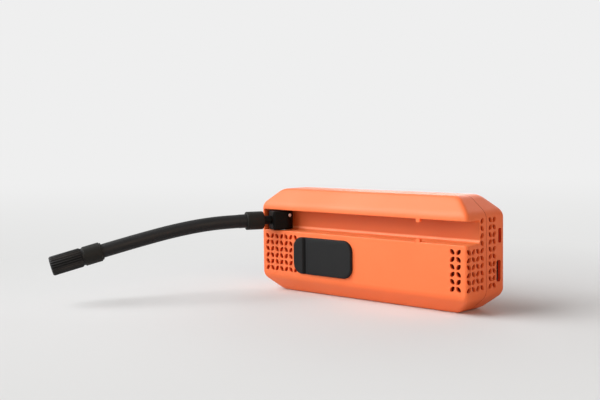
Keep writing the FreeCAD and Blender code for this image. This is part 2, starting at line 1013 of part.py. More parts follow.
def hose():
    points = [Vector(along, 0, -drop) for along, drop in hose_route]
    return on_swivel(tube_along(points, hose_radius, hose_bore))


def far_ferrule():
    sleeve_start = far_lip_length - far_ferrule_back
    sleeve = cylinder(
        far_ferrule_radius, (sleeve_start, 0, 0), AXIS_X, far_ferrule_front - sleeve_start
    )
    rims = [edge for edge in sleeve.Edges if edge.Curve.TypeId == "Part::GeomCircle"]
    sleeve = sleeve.makeChamfer(far_ferrule_chamfer, rims)
    lip = cylinder(far_lip_radius, (-far_ferrule_back, 0, 0), AXIS_X, far_lip_length + 1)
    body = joined([sleeve, lip])
    cuts = [
        cylinder(sleeve_bore, (-far_ferrule_back - 1, 0, 0), AXIS_X, far_ferrule_back + 1),
        cylinder(tail_radius + sleeve_gap, (-1, 0, 0), AXIS_X, far_ferrule_front + 2),
    ]
    return on_chuck(body.cut(cuts))


def chuck_stem():
    """Hollow core: a tail in the hose, the collar seen in the gap, and the head that holds the nut."""
    pieces = [
        cylinder(tail_radius, (-tail_reach, 0, 0), AXIS_X, tail_reach + far_ferrule_front),
        cylinder(
            stem_collar_radius,
            (far_ferrule_front, 0, 0),
            AXIS_X,
            stem_collar_end - far_ferrule_front,
        ),
        cylinder(stem_neck_radius, (stem_collar_end, 0, 0), AXIS_X, stem_head_start - stem_collar_end),
        cylinder(stem_head_radius, (stem_head_start, 0, 0), AXIS_X, stem_head_end - stem_head_start),
    ]
    bore = cylinder(stem_bore, (-tail_reach - 1, 0, 0), AXIS_X, tail_reach + stem_head_end + 2)
    return on_chuck(joined(pieces).cut(bore))


def chuck_nut():
    """Knurled nut: straight ribs outside, a pocket for the stem's head and gasket, and the valve thread."""
    corners = []
    for step in range(2 * nut_rib_count + 1):
        angle = math.pi * step / nut_rib_count
        radius = nut_radius if step % 2 == 0 else nut_radius - nut_rib_depth
        corners.append(Vector(nut_start, radius * math.cos(angle), radius * math.sin(angle)))
    ribbed = Part.Face(Part.makePolygon(corners)).extrude(AXIS_X * (nut_end - nut_start))
    blank = cylinder(nut_radius + 0.01, (nut_start, 0, 0), AXIS_X, nut_end - nut_start)
    rims = [edge for edge in blank.Edges if edge.Curve.TypeId == "Part::GeomCircle"]
    blank = blank.makeChamfer(nut_chamfer, rims)
    pocket_start = nut_start + nut_back_wall
    pocket_end = stem_head_end + gasket_thickness + sleeve_gap
    cuts = [
        cylinder(stem_neck_radius + running_gap, (0, 0, 0), AXIS_X, nut_end),
        cylinder(
            stem_head_radius + 2 * sleeve_gap,
            (pocket_start, 0, 0),
            AXIS_X,
            pocket_end - pocket_start,
        ),
        cylinder(valve_thread_radius, (pocket_start, 0, 0), AXIS_X, nut_end),
    ]
    return on_chuck(ribbed.common(blank).cut(cuts))


def chuck_gasket():
    start = (stem_head_end, 0, 0)
    return on_chuck(ring(stem_head_radius, gasket_bore, start, AXIS_X, gasket_thickness))


def depressor_pin():
    """The pin that pushes the valve open, on a flat foot that grips the stem's bore."""
    tip = stem_head_end + gasket_thickness
    pin = cylinder(depressor_radius, (stem_head_start, 0, 0), AXIS_X, tip - stem_head_start)
    foot = box(
        (stem_head_start, -stem_bore + press_gap, -depressor_radius / 3),
        (stem_head_end, stem_bore - press_gap, depressor_radius / 3),
    )
    return on_chuck(joined([pin, foot]))


def cover_plate():
    """The whole rubber cover before it is parted at the crease."""
    plate = panel(
        cover_left,
        cover_left + cover_length,
        cover_bottom,
        cover_bottom + cover_height,
        cover_corner,
        front_face - cover_thickness,
        cover_thickness,
    )
    outer = front_face - cover_thickness
    rims = [edge for edge in plate.Edges if abs(edge.BoundBox.YMax - outer) < 0.01]
    return plate.makeFillet(cover_edge, rims)


def cover_zone(low_x, high_x):
    return box((low_x, -body_depth, -1), (high_x, body_depth, body_height))


def flap_anchor():
    zone = cover_zone(cover_left - 1, crease_x - crease_half_width)
    return cover_plate().common(zone)


def flap_hinge():
    """The thin web at the bottom of the crease, which bends when the flap opens."""
    return box(
        (crease_x - crease_half_width, front_face - web_thickness, cover_bottom),
        (crease_x + crease_half_width, front_face, cover_bottom + cover_height),
    )


def port_flap():
    plate = cover_plate().common(cover_zone(crease_x + crease_half_width, right_end))
    plug = panel(
        socket_x - socket_opening_length / 2 + plug_gap,
        socket_x + socket_opening_length / 2 - plug_gap,
        socket_z - socket_opening_height / 2 + plug_gap,
        socket_z + socket_opening_height / 2 - plug_gap,
        socket_opening_corner - plug_gap,
        front_face - plug_root,
        plug_depth + plug_root,
    )
    return joined([plate, plug])


def contact_places():
    return [socket_x - contact_spread, socket_x + contact_spread]


def output_socket():
    """Two-pole socket behind the flap, held by a flange inside the front wall."""
    mouth = front_face + socket_recess
    half_length = socket_opening_length / 2 - socket_side_gap
    half_height = socket_opening_height / 2 - socket_side_gap
    body = panel(
        socket_x - half_length,
        socket_x + half_length,
        socket_z - half_height,
        socket_z + half_height,
        socket_opening_corner - socket_side_gap,
        mouth,
        socket_depth,
    )
    flange = panel(
        socket_x - half_length - socket_flange,
        socket_x + half_length + socket_flange,
        socket_z - half_height - socket_flange,
        socket_z + half_height + socket_flange,
        socket_opening_corner,
        inner_front + running_gap,
        socket_flange_thickness,
    )
    hole_radius = contact_radius + running_gap
    bore_depth = contact_set_back + contact_length + cut_spare
    bores = [
        cylinder(hole_radius, (x, mouth - cut_spare, socket_z), AXIS_Y, bore_depth)
        for x in contact_places()
    ]
    return joined([body, flange]).cut(bores)


def output_contacts():
    start_y = front_face + socket_recess + contact_set_back
    inner = contact_radius - contact_wall
    contacts = []
    for x in contact_places():
        contacts.append(ring(contact_radius, inner, (x, start_y, socket_z), AXIS_Y, contact_length))
    return group(contacts)


def usb_receptacle(outer, mouth, length, y, z):
    """A metal shell with its tongue, open towards the right end."""
    end = inner_right - socket_gap
    start = end - length
    shell = box((start, y - outer[0] / 2, z - outer[1] / 2), (end, y + outer[0] / 2, z + outer[1] / 2))
    hollow = box(
        (start + usb_wall, y - mouth[0] / 2, z - mouth[1] / 2),
        (end + 1, y + mouth[0] / 2, z + mouth[1] / 2),
    )
    tongue_half = mouth[0] * tongue_share / 2
    tongue = box(
        (start, y - tongue_half, z - mouth[1] * 0.44),
        (end - 1, y + tongue_half, z + mouth[1] * 0.44),
    )
    return joined([shell.cut(hollow), tongue])


def cells():
    return group([cylinder(cell_radius, (cells_start, y, z), AXIS_X, cell_length) for y, z in cell_places])


def cell_holder():
    """Two end plates that locate the cells, with a window for the contact at each cell's middle."""
    plates = []
    for low in (cells_start - holder_thickness, cells_start + cell_length):
        plate = box(
            (low, holder_front, holder_bottom),
            (low + holder_thickness, inner_rear - holder_gap, holder_top),
        )
        length = holder_thickness + 2 * cut_spare
        holes = [
            cylinder(cell_radius / 3, (low - cut_spare, y, z), AXIS_X, length) for y, z in cell_places
        ]
        plates.append(plate.cut(holes))
    return group(plates)


# Pump


def tooth_half_angle(radius, teeth, base):
    """Half the angle that a tooth spans at a radius, on an involute flank."""
    pitch_radius = gear_module * teeth / 2
    slope = math.radians(pressure_angle)
    start = math.pi / (2 * teeth) - tooth_backlash / (2 * pitch_radius)
    start += math.tan(slope) - slope
    if radius <= base:
        return start
    local = math.acos(base / radius)
    return start - (math.tan(local) - local)


def gear_blank(teeth, centre_x, turn):
    """A spur gear's solid; turn is the angle of one tooth's middle from +X, towards +Z."""
    pitch_radius = gear_module * teeth / 2
    base = pitch_radius * math.cos(math.radians(pressure_angle))
    root = pitch_radius - dedendum * gear_module
    tip = pitch_radius + addendum * gear_module
    foot = max(base, root)

    def point(radius, angle):
        return Vector(
            centre_x + radius * math.cos(angle),
            gear_plane,
            pump_height + radius * math.sin(angle),
        )

    edges = []
    for tooth in range(teeth):
        middle = turn + 2 * math.pi * tooth / teeth
        following = middle + 2 * math.pi / teeth
        mean = (foot + tip) / 2
        low = tooth_half_angle(foot, teeth, base)
        half = tooth_half_angle(mean, teeth, base)
        high = tooth_half_angle(tip, teeth, base)
        if root < foot:
            edges.append(line(point(root, middle - low), point(foot, middle - low)))
        edges.append(arc(point(foot, middle - low), point(mean, middle - half), point(tip, middle - high)))
        edges.append(arc(point(tip, middle - high), point(tip, middle), point(tip, middle + high)))
        edges.append(arc(point(tip, middle + high), point(mean, middle + half), point(foot, middle + low)))
        if root < foot:
            edges.append(line(point(foot, middle + low), point(root, middle + low)))
        gap_middle = (middle + following) / 2
        edges.append(arc(point(root, middle + low), point(root, gap_middle), point(root, following - low)))
    return Part.Face(Part.Wire(edges)).extrude(AXIS_Y * gear_width)


def gear_bore(radius, x):
    start = (x, gear_plane - cut_spare, pump_height)
    return cylinder(radius + press_gap, start, AXIS_Y, gear_width + 2 * cut_spare)


def crank_gear():
    bore = gear_bore(crank_shaft_radius, crank_x)
    web_radius = gear_module * gear_teeth / 2 - 3.5
    recess = ring(web_radius, 4.5, (crank_x, gear_plane - 1, pump_height), AXIS_Y, 2.0)
    return gear_blank(gear_teeth, crank_x, 0.0).cut([bore, recess])


def pinion():
    bore = gear_bore(shaft_radius, motor_x)
    turn = math.pi - math.pi / pinion_teeth
    return gear_blank(pinion_teeth, motor_x, turn).cut(bore)


def crank_shaft():
    """The gear's shaft with the crank disc on its inner end."""
    start = gear_plane - 0.7
    disc_start = plate_rear + crank_gap
    shaft = cylinder(crank_shaft_radius, (crank_x, start, pump_height), AXIS_Y, disc_start - start)
    disc = cylinder(crank_disc_radius, (crank_x, disc_start, pump_height), AXIS_Y, crank_disc_thickness)
    return joined([shaft, disc])


def crank_bush():
    start = (crank_x, plate_front, pump_height)
    outer = crank_shaft_radius + bush_thickness
    return ring(outer, crank_shaft_radius + running_gap, start, AXIS_Y, plate_thickness)


def crank_pin():
    start_y = plate_rear + crank_gap + crank_disc_thickness
    start = (crank_x - crank_radius, start_y, pump_height)
    return cylinder(crank_pin_radius, start, AXIS_Y, crank_pin_length)


def connecting_rod():
    half = rod_thickness / 2
    crank_end = crank_x - crank_radius
    bar = box(
        (wrist_x, -half, pump_height - rod_width / 2),
        (crank_end, half, pump_height + rod_width / 2),
    )
    eyes = []
    holes = []
    for x, pin_radius in ((crank_end, crank_pin_radius), (wrist_x, wrist_pin_radius)):
        eyes.append(cylinder(rod_eye_radius, (x, -half, pump_height), AXIS_Y, rod_thickness))
        hole_start = (x, -half - cut_spare, pump_height)
        holes.append(
            cylinder(pin_radius + running_gap, hole_start, AXIS_Y, rod_thickness + 2 * cut_spare)
        )
    return joined([bar] + eyes).cut(holes)


def wrist_pin():
    start = (wrist_x, -wrist_pin_length / 2, pump_height)
    return cylinder(wrist_pin_radius, start, AXIS_Y, wrist_pin_length)


def piston():
    """Hollow piston with two bosses for the wrist pin and a groove for its seal."""
    blank = cylinder(piston_radius, (crown_x, 0, pump_height), AXIS_X, piston_length)
    hollow_start = (crown_x + piston_crown, 0, pump_height)
    hollow = cylinder(piston_radius - piston_skirt, hollow_start, AXIS_X, piston_length)
    boss_gap = rod_thickness / 2 + 0.7
    boss_radius = wrist_pin_radius + 1.1
    bosses = [
        cylinder(boss_radius, (wrist_x, start, pump_height), AXIS_Y, piston_radius - 1 - boss_gap)
        for start in (boss_gap, 1 - piston_radius)
    ]
    seal_seat = ring(
        piston_radius + 1,
        piston_radius - seal_depth,
        (crown_x + seal_start, 0, pump_height),
        AXIS_X,
        seal_width,
    )
    pin_hole = cylinder(
        wrist_pin_radius + press_gap,
        (wrist_x, -wrist_pin_length / 2 - running_gap, pump_height),
        AXIS_Y,
        wrist_pin_length + 2 * running_gap,
    )
    return joined([blank.cut(hollow)] + bosses).cut([seal_seat, pin_hole])


def piston_seal():
    start = (crown_x + seal_start + running_gap, 0, pump_height)
    inner = piston_radius - seal_depth + running_gap
    return ring(bore_radius - running_gap, inner, start, AXIS_X, seal_width - 2 * running_gap)


def pump_cylinder():
    start = (head_rear, 0, pump_height)
    return ring(bore_radius + cylinder_wall, bore_radius, start, AXIS_X, cylinder_length)


def on_outlet(radius, start, length):
    """A cylinder on the outlet's line, its start measured from the valve chamber's outer face."""
    return cylinder(radius, (outlet_tip + start, outlet_y, outlet_z), AXIS_X, length)


def cylinder_head():
    """End plate of the pump with the valve chamber, its nozzle and the sensor's nipple."""
    plate = cylinder(bore_radius + cylinder_wall, (head_front, 0, pump_height), AXIS_X, head_thickness)
    chamber = on_outlet(outlet_radius, 0, outlet_length)
    nozzle = on_outlet(nozzle_radius, -nozzle_length, nozzle_length)
    nipple_root = ((head_front + head_rear) / 2, sensor_side, sensor_nipple_root)
    nipple_height = sensor_nipple_tip - sensor_nipple_root
    nipple = cylinder(sensor_nipple_radius, nipple_root, AXIS_Z, nipple_height)
    cuts = [
        on_outlet(valve_hole_radius, 0, outlet_length + head_thickness + cut_spare),
        on_outlet(chamber_radius, chamber_wall, chamber_length),
        on_outlet(nozzle_bore, -nozzle_length - cut_spare, nozzle_length + chamber_wall + 2 * cut_spare),
    ]
    return joined([plate, chamber, nozzle, nipple]).cut(cuts)


def valve_ball():
    seat = outlet_tip + chamber_wall + chamber_length
    middle = seat - valve_ball_radius * 0.8 - valve_ball_gap
    return Part.makeSphere(valve_ball_radius, Vector(middle, outlet_y, outlet_z))


def valve_spring():
    """Light coil spring behind the valve ball."""
    start = outlet_tip + chamber_wall + spring_wire
    length = chamber_length - 2 * valve_ball_radius - 2 * spring_wire + 0.35
    helix = Part.makeHelix(length / spring_turns, length, spring_radius)
    helix.rotate(ORIGIN, AXIS_Y, 90)
    helix.translate(Vector(start, outlet_y, outlet_z))
    begin = helix.Edges[0].valueAt(helix.Edges[0].FirstParameter)
    tangent = helix.Edges[0].tangentAt(helix.Edges[0].FirstParameter)
    section = Part.Wire(Part.makeCircle(spring_wire, begin, tangent))
    return Part.Wire(helix.Edges).makePipeShell([section], True, True)


def pump_frame():
    """The plate that carries the motor, the crank and the cylinder, on four legs from the front wall."""
    left = crank_x - ear_from_crank - leg_radius
    right = crank_x + right_leg_from_crank + leg_radius
    cylinder_end = head_rear + cylinder_length
    low = ear_heights[0] - leg_radius
    high = ear_heights[1] + leg_radius
    plate = box((left, plate_front, low), (right, plate_rear, high))
    barrel_radius = bore_radius + cylinder_wall
    bracket = box(
        (cylinder_end, plate_front, pump_height - barrel_radius),
        (cylinder_end + bracket_thickness, barrel_radius, pump_height + barrel_radius),
    )
    legs = [
        cylinder(leg_radius, (x, leg_seam, z), AXIS_Y, plate_front - leg_seam) for x, z in pump_leg_places()
    ]
    cuts = [
        cylinder(
            barrel_radius + barrel_gap,
            (left - 1, 0, pump_height),
            AXIS_X,
            cylinder_end - left + 1,
        ),
        cylinder(bore_radius + 0.1, (cylinder_end - 1, 0, pump_height), AXIS_X, bracket_thickness + 2),
        cylinder(
            crank_shaft_radius + bush_thickness + press_gap,
            (crank_x, plate_front - 1, pump_height),
            AXIS_Y,
            plate_thickness + 2,
        ),
        cylinder(3 * shaft_radius, (motor_x, plate_front - 1, pump_height), AXIS_Y, plate_thickness + 2),
    ]
    cuts += [
        cylinder(pump_screw_radius + running_gap, (x, leg_seam - 1, z), AXIS_Y, body_depth)
        for x, z in pump_leg_places()
    ]
    return joined([plate, bracket] + legs).cut(cuts)


def pump_screws():
    shank_start = inner_front + 1.2
    screws = []
    for x, z in pump_leg_places():
        shank = cylinder(pump_screw_radius, (x, shank_start, z), AXIS_Y, plate_rear - shank_start)
        head = cylinder(pump_head_radius, (x, plate_rear, z), AXIS_Y, pump_head_height)
        screws.append(joined([shank, head]))
    return group(screws)


def motor_can():
    outer = cylinder(motor_radius, (motor_x, plate_rear, pump_height), AXIS_Y, motor_length)
    hollow = cylinder(
        motor_radius - motor_wall, (motor_x, plate_rear + motor_cap, pump_height), AXIS_Y, motor_length
    )
    hole = cylinder(shaft_radius + shaft_clearance, (motor_x, plate_rear - 1, pump_height), AXIS_Y, 3)
    return outer.cut([hollow, hole])


def motor_end_cap():
    end = plate_rear + motor_length
    cap = cylinder(motor_radius, (motor_x, end, pump_height), AXIS_Y, motor_cap)
    hole = cylinder(shaft_radius + shaft_clearance, (motor_x, end - 1, pump_height), AXIS_Y, motor_cap + 2)
    return cap.cut(hole)


def motor_magnets():
    outer = motor_radius - motor_wall - magnet_gap
    start = Vector(motor_x, plate_rear + motor_cap + 1.5, pump_height)
    magnets = []
    for turn in (0, 180):
        sector = Part.makeCylinder(outer, magnet_length, start, AXIS_Y, magnet_angle)
        core = Part.makeCylinder(outer - magnet_thickness, magnet_length, start, AXIS_Y)
        magnet = sector.cut(core)
        magnet.rotate(start, AXIS_Y, turn)
        magnets.append(magnet)
    return group(magnets)


def motor_armature():
    start_y = plate_rear + motor_cap + 2.5
    core = cylinder(armature_radius, (motor_x, start_y, pump_height), AXIS_Y, armature_length)
    bore_start = (motor_x, start_y - cut_spare, pump_height)
    cuts = [cylinder(shaft_radius + press_gap, bore_start, AXIS_Y, armature_length + 2 * cut_spare)]
    for step in range(3):
        slot = box(
            (motor_x + armature_radius - armature_slot_depth, start_y - 1, pump_height - armature_slot / 2),
            (motor_x + armature_radius + 1, start_y + armature_length + 1, pump_height + armature_slot / 2),
        )
        slot.rotate(Vector(motor_x, 0, pump_height), AXIS_Y, 120 * step)
        cuts.append(slot)
    return core.cut(cuts)


def motor_shaft():
    start = gear_plane - 0.4
    end = plate_rear + motor_length + motor_cap
    return cylinder(shaft_radius, (motor_x, start, pump_height), AXIS_Y, end - start)


def air_tube():
    """Silicone tube from the pump's nozzle, past the cells, up to the pivot's nipple."""
    points = [
        Vector(outlet_tip, outlet_y, outlet_z),
        Vector(pivot_x + tube_turn_from_pivot, outlet_y, outlet_z),
        Vector(pivot_x, pivot_y, tube_rise_start),
        Vector(pivot_x, pivot_y, nipple_top),
    ]
    return tube_along(points, tube_radius, tube_bore)


def sensor_tube():
    low, high = sensor_tube_range
    start = ((head_front + head_rear) / 2, sensor_side, low)
    return ring(sensor_tube_radius, sensor_tube_bore, start, AXIS_Z, high - low)


def pressure_sensor():
    middle = (head_front + head_rear) / 2
    low = (middle - sensor_size[0] / 2, board_front - sensor_size[1], sensor_floor)
    high = (middle + sensor_size[0] / 2, board_front, sensor_floor + sensor_size[2])
    nipple_start = (middle, sensor_side, sensor_nipple_low)
    nipple = cylinder(sensor_nipple_radius, nipple_start, AXIS_Z, sensor_floor + 1 - sensor_nipple_low)
    return joined([box(low, high), nipple])


def control_board():
    """L-shaped board with a notch for the larger socket and holes over its bosses."""
    right = inner_right - board_right_gap
    upper = box(
        (right_end - board_left_from_right, board_front, board_bottom),
        (right, board_rear, board_top),
    )
    foot = box(
        (right_end - board_foot_from_right, board_front, board_foot_bottom),
        (right, board_rear, board_bottom),
    )
    notch_half = usb_a_outer[1] / 2 + 2 * socket_gap
    notch_start = inner_right - usb_a_length - 3 * socket_gap
    notch = box(
        (notch_start, board_front - 1, usb_a_height - notch_half),
        (right + 1, board_rear + 1, usb_a_height + notch_half),
    )
    hole_radius = board_screw_radius + running_gap
    hole_start = board_front - cut_spare
    hole_length = board_thickness + 2 * cut_spare
    holes = [
        cylinder(hole_radius, (right_end - inset, hole_start, z), AXIS_Y, hole_length)
        for inset, z in board_boss_places
    ]
    return joined([upper, foot]).cut([notch] + holes)


def board_screws():
    screws = []
    for inset, z in board_boss_places:
        x = right_end - inset
        head_start = board_front - board_screw_head_height
        head = cylinder(board_screw_head, (x, head_start, z), AXIS_Y, board_screw_head_height)
        shank = cylinder(board_screw_radius, (x, board_front, z), AXIS_Y, board_thickness + wall)
        screws.append(joined([head, shank]))
    return group(screws)


def display_module():
    x = right_end - display_from_right
    thickness = rear_face - window_thickness - 2 * socket_gap - board_rear
    return window_panel(x, -display_frame - socket_gap, board_rear, thickness)


def display_window():
    x = right_end - display_from_right
    return window_panel(x, -socket_gap, rear_face - window_thickness, window_thickness)


def tact_switches():
    switches = []
    half = switch_size / 2
    for inset, z in button_places.values():
        x = right_end - inset
        body = box((x - half, board_rear, z - half), (x + half, board_rear + switch_height, z + half))
        plunger = cylinder(
            switch_plunger_radius, (x, board_rear, z), AXIS_Y, switch_height + switch_plunger_height
        )
        switches.append(joined([body, plunger]))
    return group(switches)


def button(name):
    """A round key: its cap stands in the wall, its flange stays inside, and its stem meets the switch."""
    inset, z = button_places[name]
    x = right_end - inset
    flange_top = inner_rear - socket_gap
    flange_start = flange_top - button_flange_thickness
    stem_start = board_rear + switch_height + switch_plunger_height + button_travel + running_gap
    cap = cylinder(button_radius, (x, flange_start, z), AXIS_Y, rear_face + button_proud - flange_start)
    rim = [edge for edge in cap.Edges if edge.BoundBox.YMin > rear_face]
    cap = cap.makeFillet(button_rounding, rim)
    flange = cylinder(button_radius + button_flange, (x, flange_start, z), AXIS_Y, button_flange_thickness)
    stem = cylinder(button_stem_radius, (x, stem_start, z), AXIS_Y, flange_start - stem_start)
    return joined([cap, flange, stem])


def main():
    os.makedirs("parts", exist_ok=True)
    outer = casing_outside()
    save("front_shell", front_shell(outer))
    save("rear_shell", rear_shell(outer))
    save("case_screws", case_screws())
    save("swivel_block", swivel_block())
    save("pivot_screw", pivot_screw())
    save("pivot_orings", pivot_rings())
    save("pivot_tube", pivot_tube())
    save("pivot_nut", pivot_nut())
    save("near_ferrule", near_ferrule())
    save("hose", hose())
    save("far_ferrule", far_ferrule())
    save("chuck_stem", chuck_stem())
    save("chuck_nut", chuck_nut())
    save("chuck_gasket", chuck_gasket())
    save("depressor_pin", depressor_pin())
    save("flap_anchor", flap_anchor())
    save("flap_hinge", flap_hinge())
    save("port_flap", port_flap())
    save("output_socket", output_socket())
    save("output_contacts", output_contacts())
    save(
        "usb_a_receptacle",
        usb_receptacle(usb_a_outer, usb_a_mouth, usb_a_length, usb_a_depth, usb_a_height),
    )
    save(
        "usb_c_receptacle",
        usb_receptacle(usb_c_outer, usb_c_mouth, usb_c_length, usb_c_depth, usb_c_height),
    )
    save("battery_cells", cells())
    save("cell_holder", cell_holder())
    save("crank_gear", crank_gear())
    save("pinion", pinion())
    save("crank_shaft", crank_shaft())
    save("crank_bush", crank_bush())
    save("crank_pin", crank_pin())
    save("connecting_rod", connecting_rod())
    save("wrist_pin", wrist_pin())
    save("piston", piston())
    save("piston_seal", piston_seal())
    save("pump_cylinder", pump_cylinder())
    save("cylinder_head", cylinder_head())
    save("valve_ball", valve_ball())
    save("valve_spring", valve_spring())
    save("pump_frame", pump_frame())
    save("pump_screws", pump_screws())
    save("motor_can", motor_can())
    save("motor_end_cap", motor_end_cap())
    save("motor_magnets", motor_magnets())
    save("motor_armature", motor_armature())
    save("motor_shaft", motor_shaft())
    save("air_tube", air_tube())
    save("sensor_tube", sensor_tube())
    save("pressure_sensor", pressure_sensor())
    save("control_board", control_board())
    save("board_screws", board_screws())
    save("display_module", display_module())
    save("display_window", display_window())
    save("tact_switches", tact_switches())
    for name in button_places:
        save(name, button(name))


main()
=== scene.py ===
import json
import math

import bmesh
import bpy
from mathutils import Matrix, Vector


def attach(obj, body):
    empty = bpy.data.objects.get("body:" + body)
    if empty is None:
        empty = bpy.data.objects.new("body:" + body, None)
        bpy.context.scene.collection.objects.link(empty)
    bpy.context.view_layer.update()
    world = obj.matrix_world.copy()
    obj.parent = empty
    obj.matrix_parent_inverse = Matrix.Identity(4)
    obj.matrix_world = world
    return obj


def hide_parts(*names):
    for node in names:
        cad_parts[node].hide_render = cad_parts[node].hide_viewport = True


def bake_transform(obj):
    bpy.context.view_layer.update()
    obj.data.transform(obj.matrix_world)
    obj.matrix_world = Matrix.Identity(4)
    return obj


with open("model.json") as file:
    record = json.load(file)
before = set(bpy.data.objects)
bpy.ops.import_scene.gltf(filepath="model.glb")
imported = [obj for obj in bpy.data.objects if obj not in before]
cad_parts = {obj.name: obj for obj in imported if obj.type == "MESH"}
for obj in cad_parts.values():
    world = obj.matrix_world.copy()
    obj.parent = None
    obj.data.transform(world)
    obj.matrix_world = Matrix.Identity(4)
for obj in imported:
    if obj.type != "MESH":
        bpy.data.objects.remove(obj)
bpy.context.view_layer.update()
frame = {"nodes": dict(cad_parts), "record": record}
nodes = frame["nodes"]

UP = Vector((0, 0, 1))


def mm(*values):
    return Vector(values) / 1000


# Camera

CAMERA_PLACE = mm(411.7, -500.1, 110.1)
CAMERA_AZIMUTH = math.radians(43.761)
CAMERA_ELEVATION = math.radians(4.010)
CAMERA_ROLL = math.radians(-0.744)
CAMERA_LENS = 59.86


def place_camera():
    forward = Vector((
        -math.sin(CAMERA_AZIMUTH) * math.cos(CAMERA_ELEVATION),
        math.cos(CAMERA_AZIMUTH) * math.cos(CAMERA_ELEVATION),
        -math.sin(CAMERA_ELEVATION),
    ))
    level = forward.cross(UP).normalized()
    above = level.cross(forward)
    right = math.cos(CAMERA_ROLL) * level + math.sin(CAMERA_ROLL) * above
    upward = right.cross(forward)
    data = bpy.data.cameras.new("camera")
    data.sensor_width = 36
    data.lens = CAMERA_LENS
    data.clip_start = 0.01
    data.clip_end = 20
    camera = bpy.data.objects.new("camera", data)
    turn = Matrix((right, upward, -forward)).transposed().to_4x4()
    camera.matrix_world = Matrix.Translation(CAMERA_PLACE) @ turn
    bpy.context.scene.collection.objects.link(camera)
    bpy.context.scene.camera = camera


# Sizes in millimetres, nearly all of them the CAD's

CASING = {
    "end": 85.0,
    "face": 19.8,
    "high": 70.0,
    "end_run": 12.0,
    "side_run": 8.8,
    "rise": 10.6,
    "fall": 10.1,
}
FRONT = -CASING["face"]
GROOVE = {"middle": 48.9, "half": 7.0, "back": -6.6, "left": -82.6}
GROOVE_LOW = GROOVE["middle"] - GROOVE["half"]
USB_A = {"wide": 4.6, "high": 13.0, "middle": 13.3, "level": 24.0}
USB_C = {"wide": 3.3, "high": 8.9, "middle": 14.6, "level": 45.35}
SCREEN = {"half_wide": 18.0, "half_high": 8.0, "middle": 25.5, "level": 47.0}

PIVOT = mm(-70.3, -13.3, 48.9)
HOSE_TURN = math.radians(-117.5)
HOSE_WAY = Vector((math.cos(HOSE_TURN), math.sin(HOSE_TURN), 0))

# Reach from the pivot and drop below it. The middle hangs half a millimetre less than in the CAD,
# so that the hose clears the groove's floor when it is folded away.
HOSE_ROUTE = [(16.5, 0), (37, 0), (57.5, 1.45), (78, 4.75), (98, 9.2), (117, 13.8), (134, 18.1)]
HOSE_RADIUS = 4.55
HOSE_BORE = 2.1

COVER = {
    "left": -53.3,
    "right": -2.6,
    "low": 14.2,
    "high": 38.7,
    "corner": 7.0,
    "edge": 0.8,
    "thick": 2.0,
}
COVER_LEVEL = (COVER["low"] + COVER["high"]) / 2
CREASE = -43.35
BUTTON_PLACES = {"power": (52, 51.2), "mode": (52, 40.8), "plus": (64, 51.2), "minus": (64, 40.8)}


def on_route(reach, drop):
    """A point at a reach out from the pivot along the hose, and a drop below it."""
    return PIVOT + HOSE_WAY * (reach / 1000) - UP * (drop / 1000)


def axis_frame(origin, along):
    """A frame at the origin, with X along the given way and Y level."""
    level = UP.cross(along).normalized()
    turn = Matrix((along, level, along.cross(level))).transposed().to_4x4()
    return Matrix.Translation(origin) @ turn


def chuck_frame():
    before, end = (on_route(*stop) for stop in HOSE_ROUTE[-2:])
    return axis_frame(end, (end - before).normalized())


# Mesh pieces

def piece(name, points, faces, smooth_angle=32):
    mesh = bpy.data.meshes.new(name)
    mesh.from_pydata([Vector(point) for point in points], [], faces)
    shape = bmesh.new()
    shape.from_mesh(mesh)
    bmesh.ops.remove_doubles(shape, verts=shape.verts, dist=1e-7)
    bmesh.ops.recalc_face_normals(shape, faces=shape.faces)
    shape.to_mesh(mesh)
    shape.free()
    mesh.shade_smooth()
    mesh.set_sharp_from_angle(angle=math.radians(smooth_angle))
    made = bpy.data.objects.new(name, mesh)
    bpy.context.scene.collection.objects.link(made)
    return made


def skin_of(rings, closed_ends=True):
    """Faces over rings of equally many points, each ring closed on itself."""
    count = len(rings[0])
    points = [point for ring in rings for point in ring]
    faces = []
    for row in range(len(rings) - 1):
        for step in range(count):
            after = (step + 1) % count
            faces.append((
                row * count + step,
                row * count + after,
                (row + 1) * count + after,
                (row + 1) * count + step,
            ))
    if closed_ends:
        faces.append(tuple(range(count)))
        faces.append(tuple(range((len(rings) - 1) * count, len(rings) * count)))
    return points, faces


def full_circle(sides):
    return [2 * math.pi * side / sides for side in range(sides)]


def four_corners(steps):
    """The steps round four rounded corners: each corner's two signs, and the step's cosine and sine."""
    turns = []
    for sign_a, sign_b, begin in ((1, 1, 0), (-1, 1, 90), (-1, -1, 180), (1, -1, 270)):
        for step in range(steps):
            turn = math.radians(begin + 90 * step / (steps - 1))
            turns.append((sign_a, sign_b, math.cos(turn), math.sin(turn)))
    return turns


def lathe(name, profile, where, closed_ends=True):
    """A turned piece from pairs of reach along X and radius, in millimetres."""
    rings = []
    for reach, radius in profile:
        rings.append([
            where @ mm(reach, radius * math.cos(angle), radius * math.sin(angle))
            for angle in full_circle(64)
        ])
    return piece(name, *skin_of(rings, closed_ends), 40)


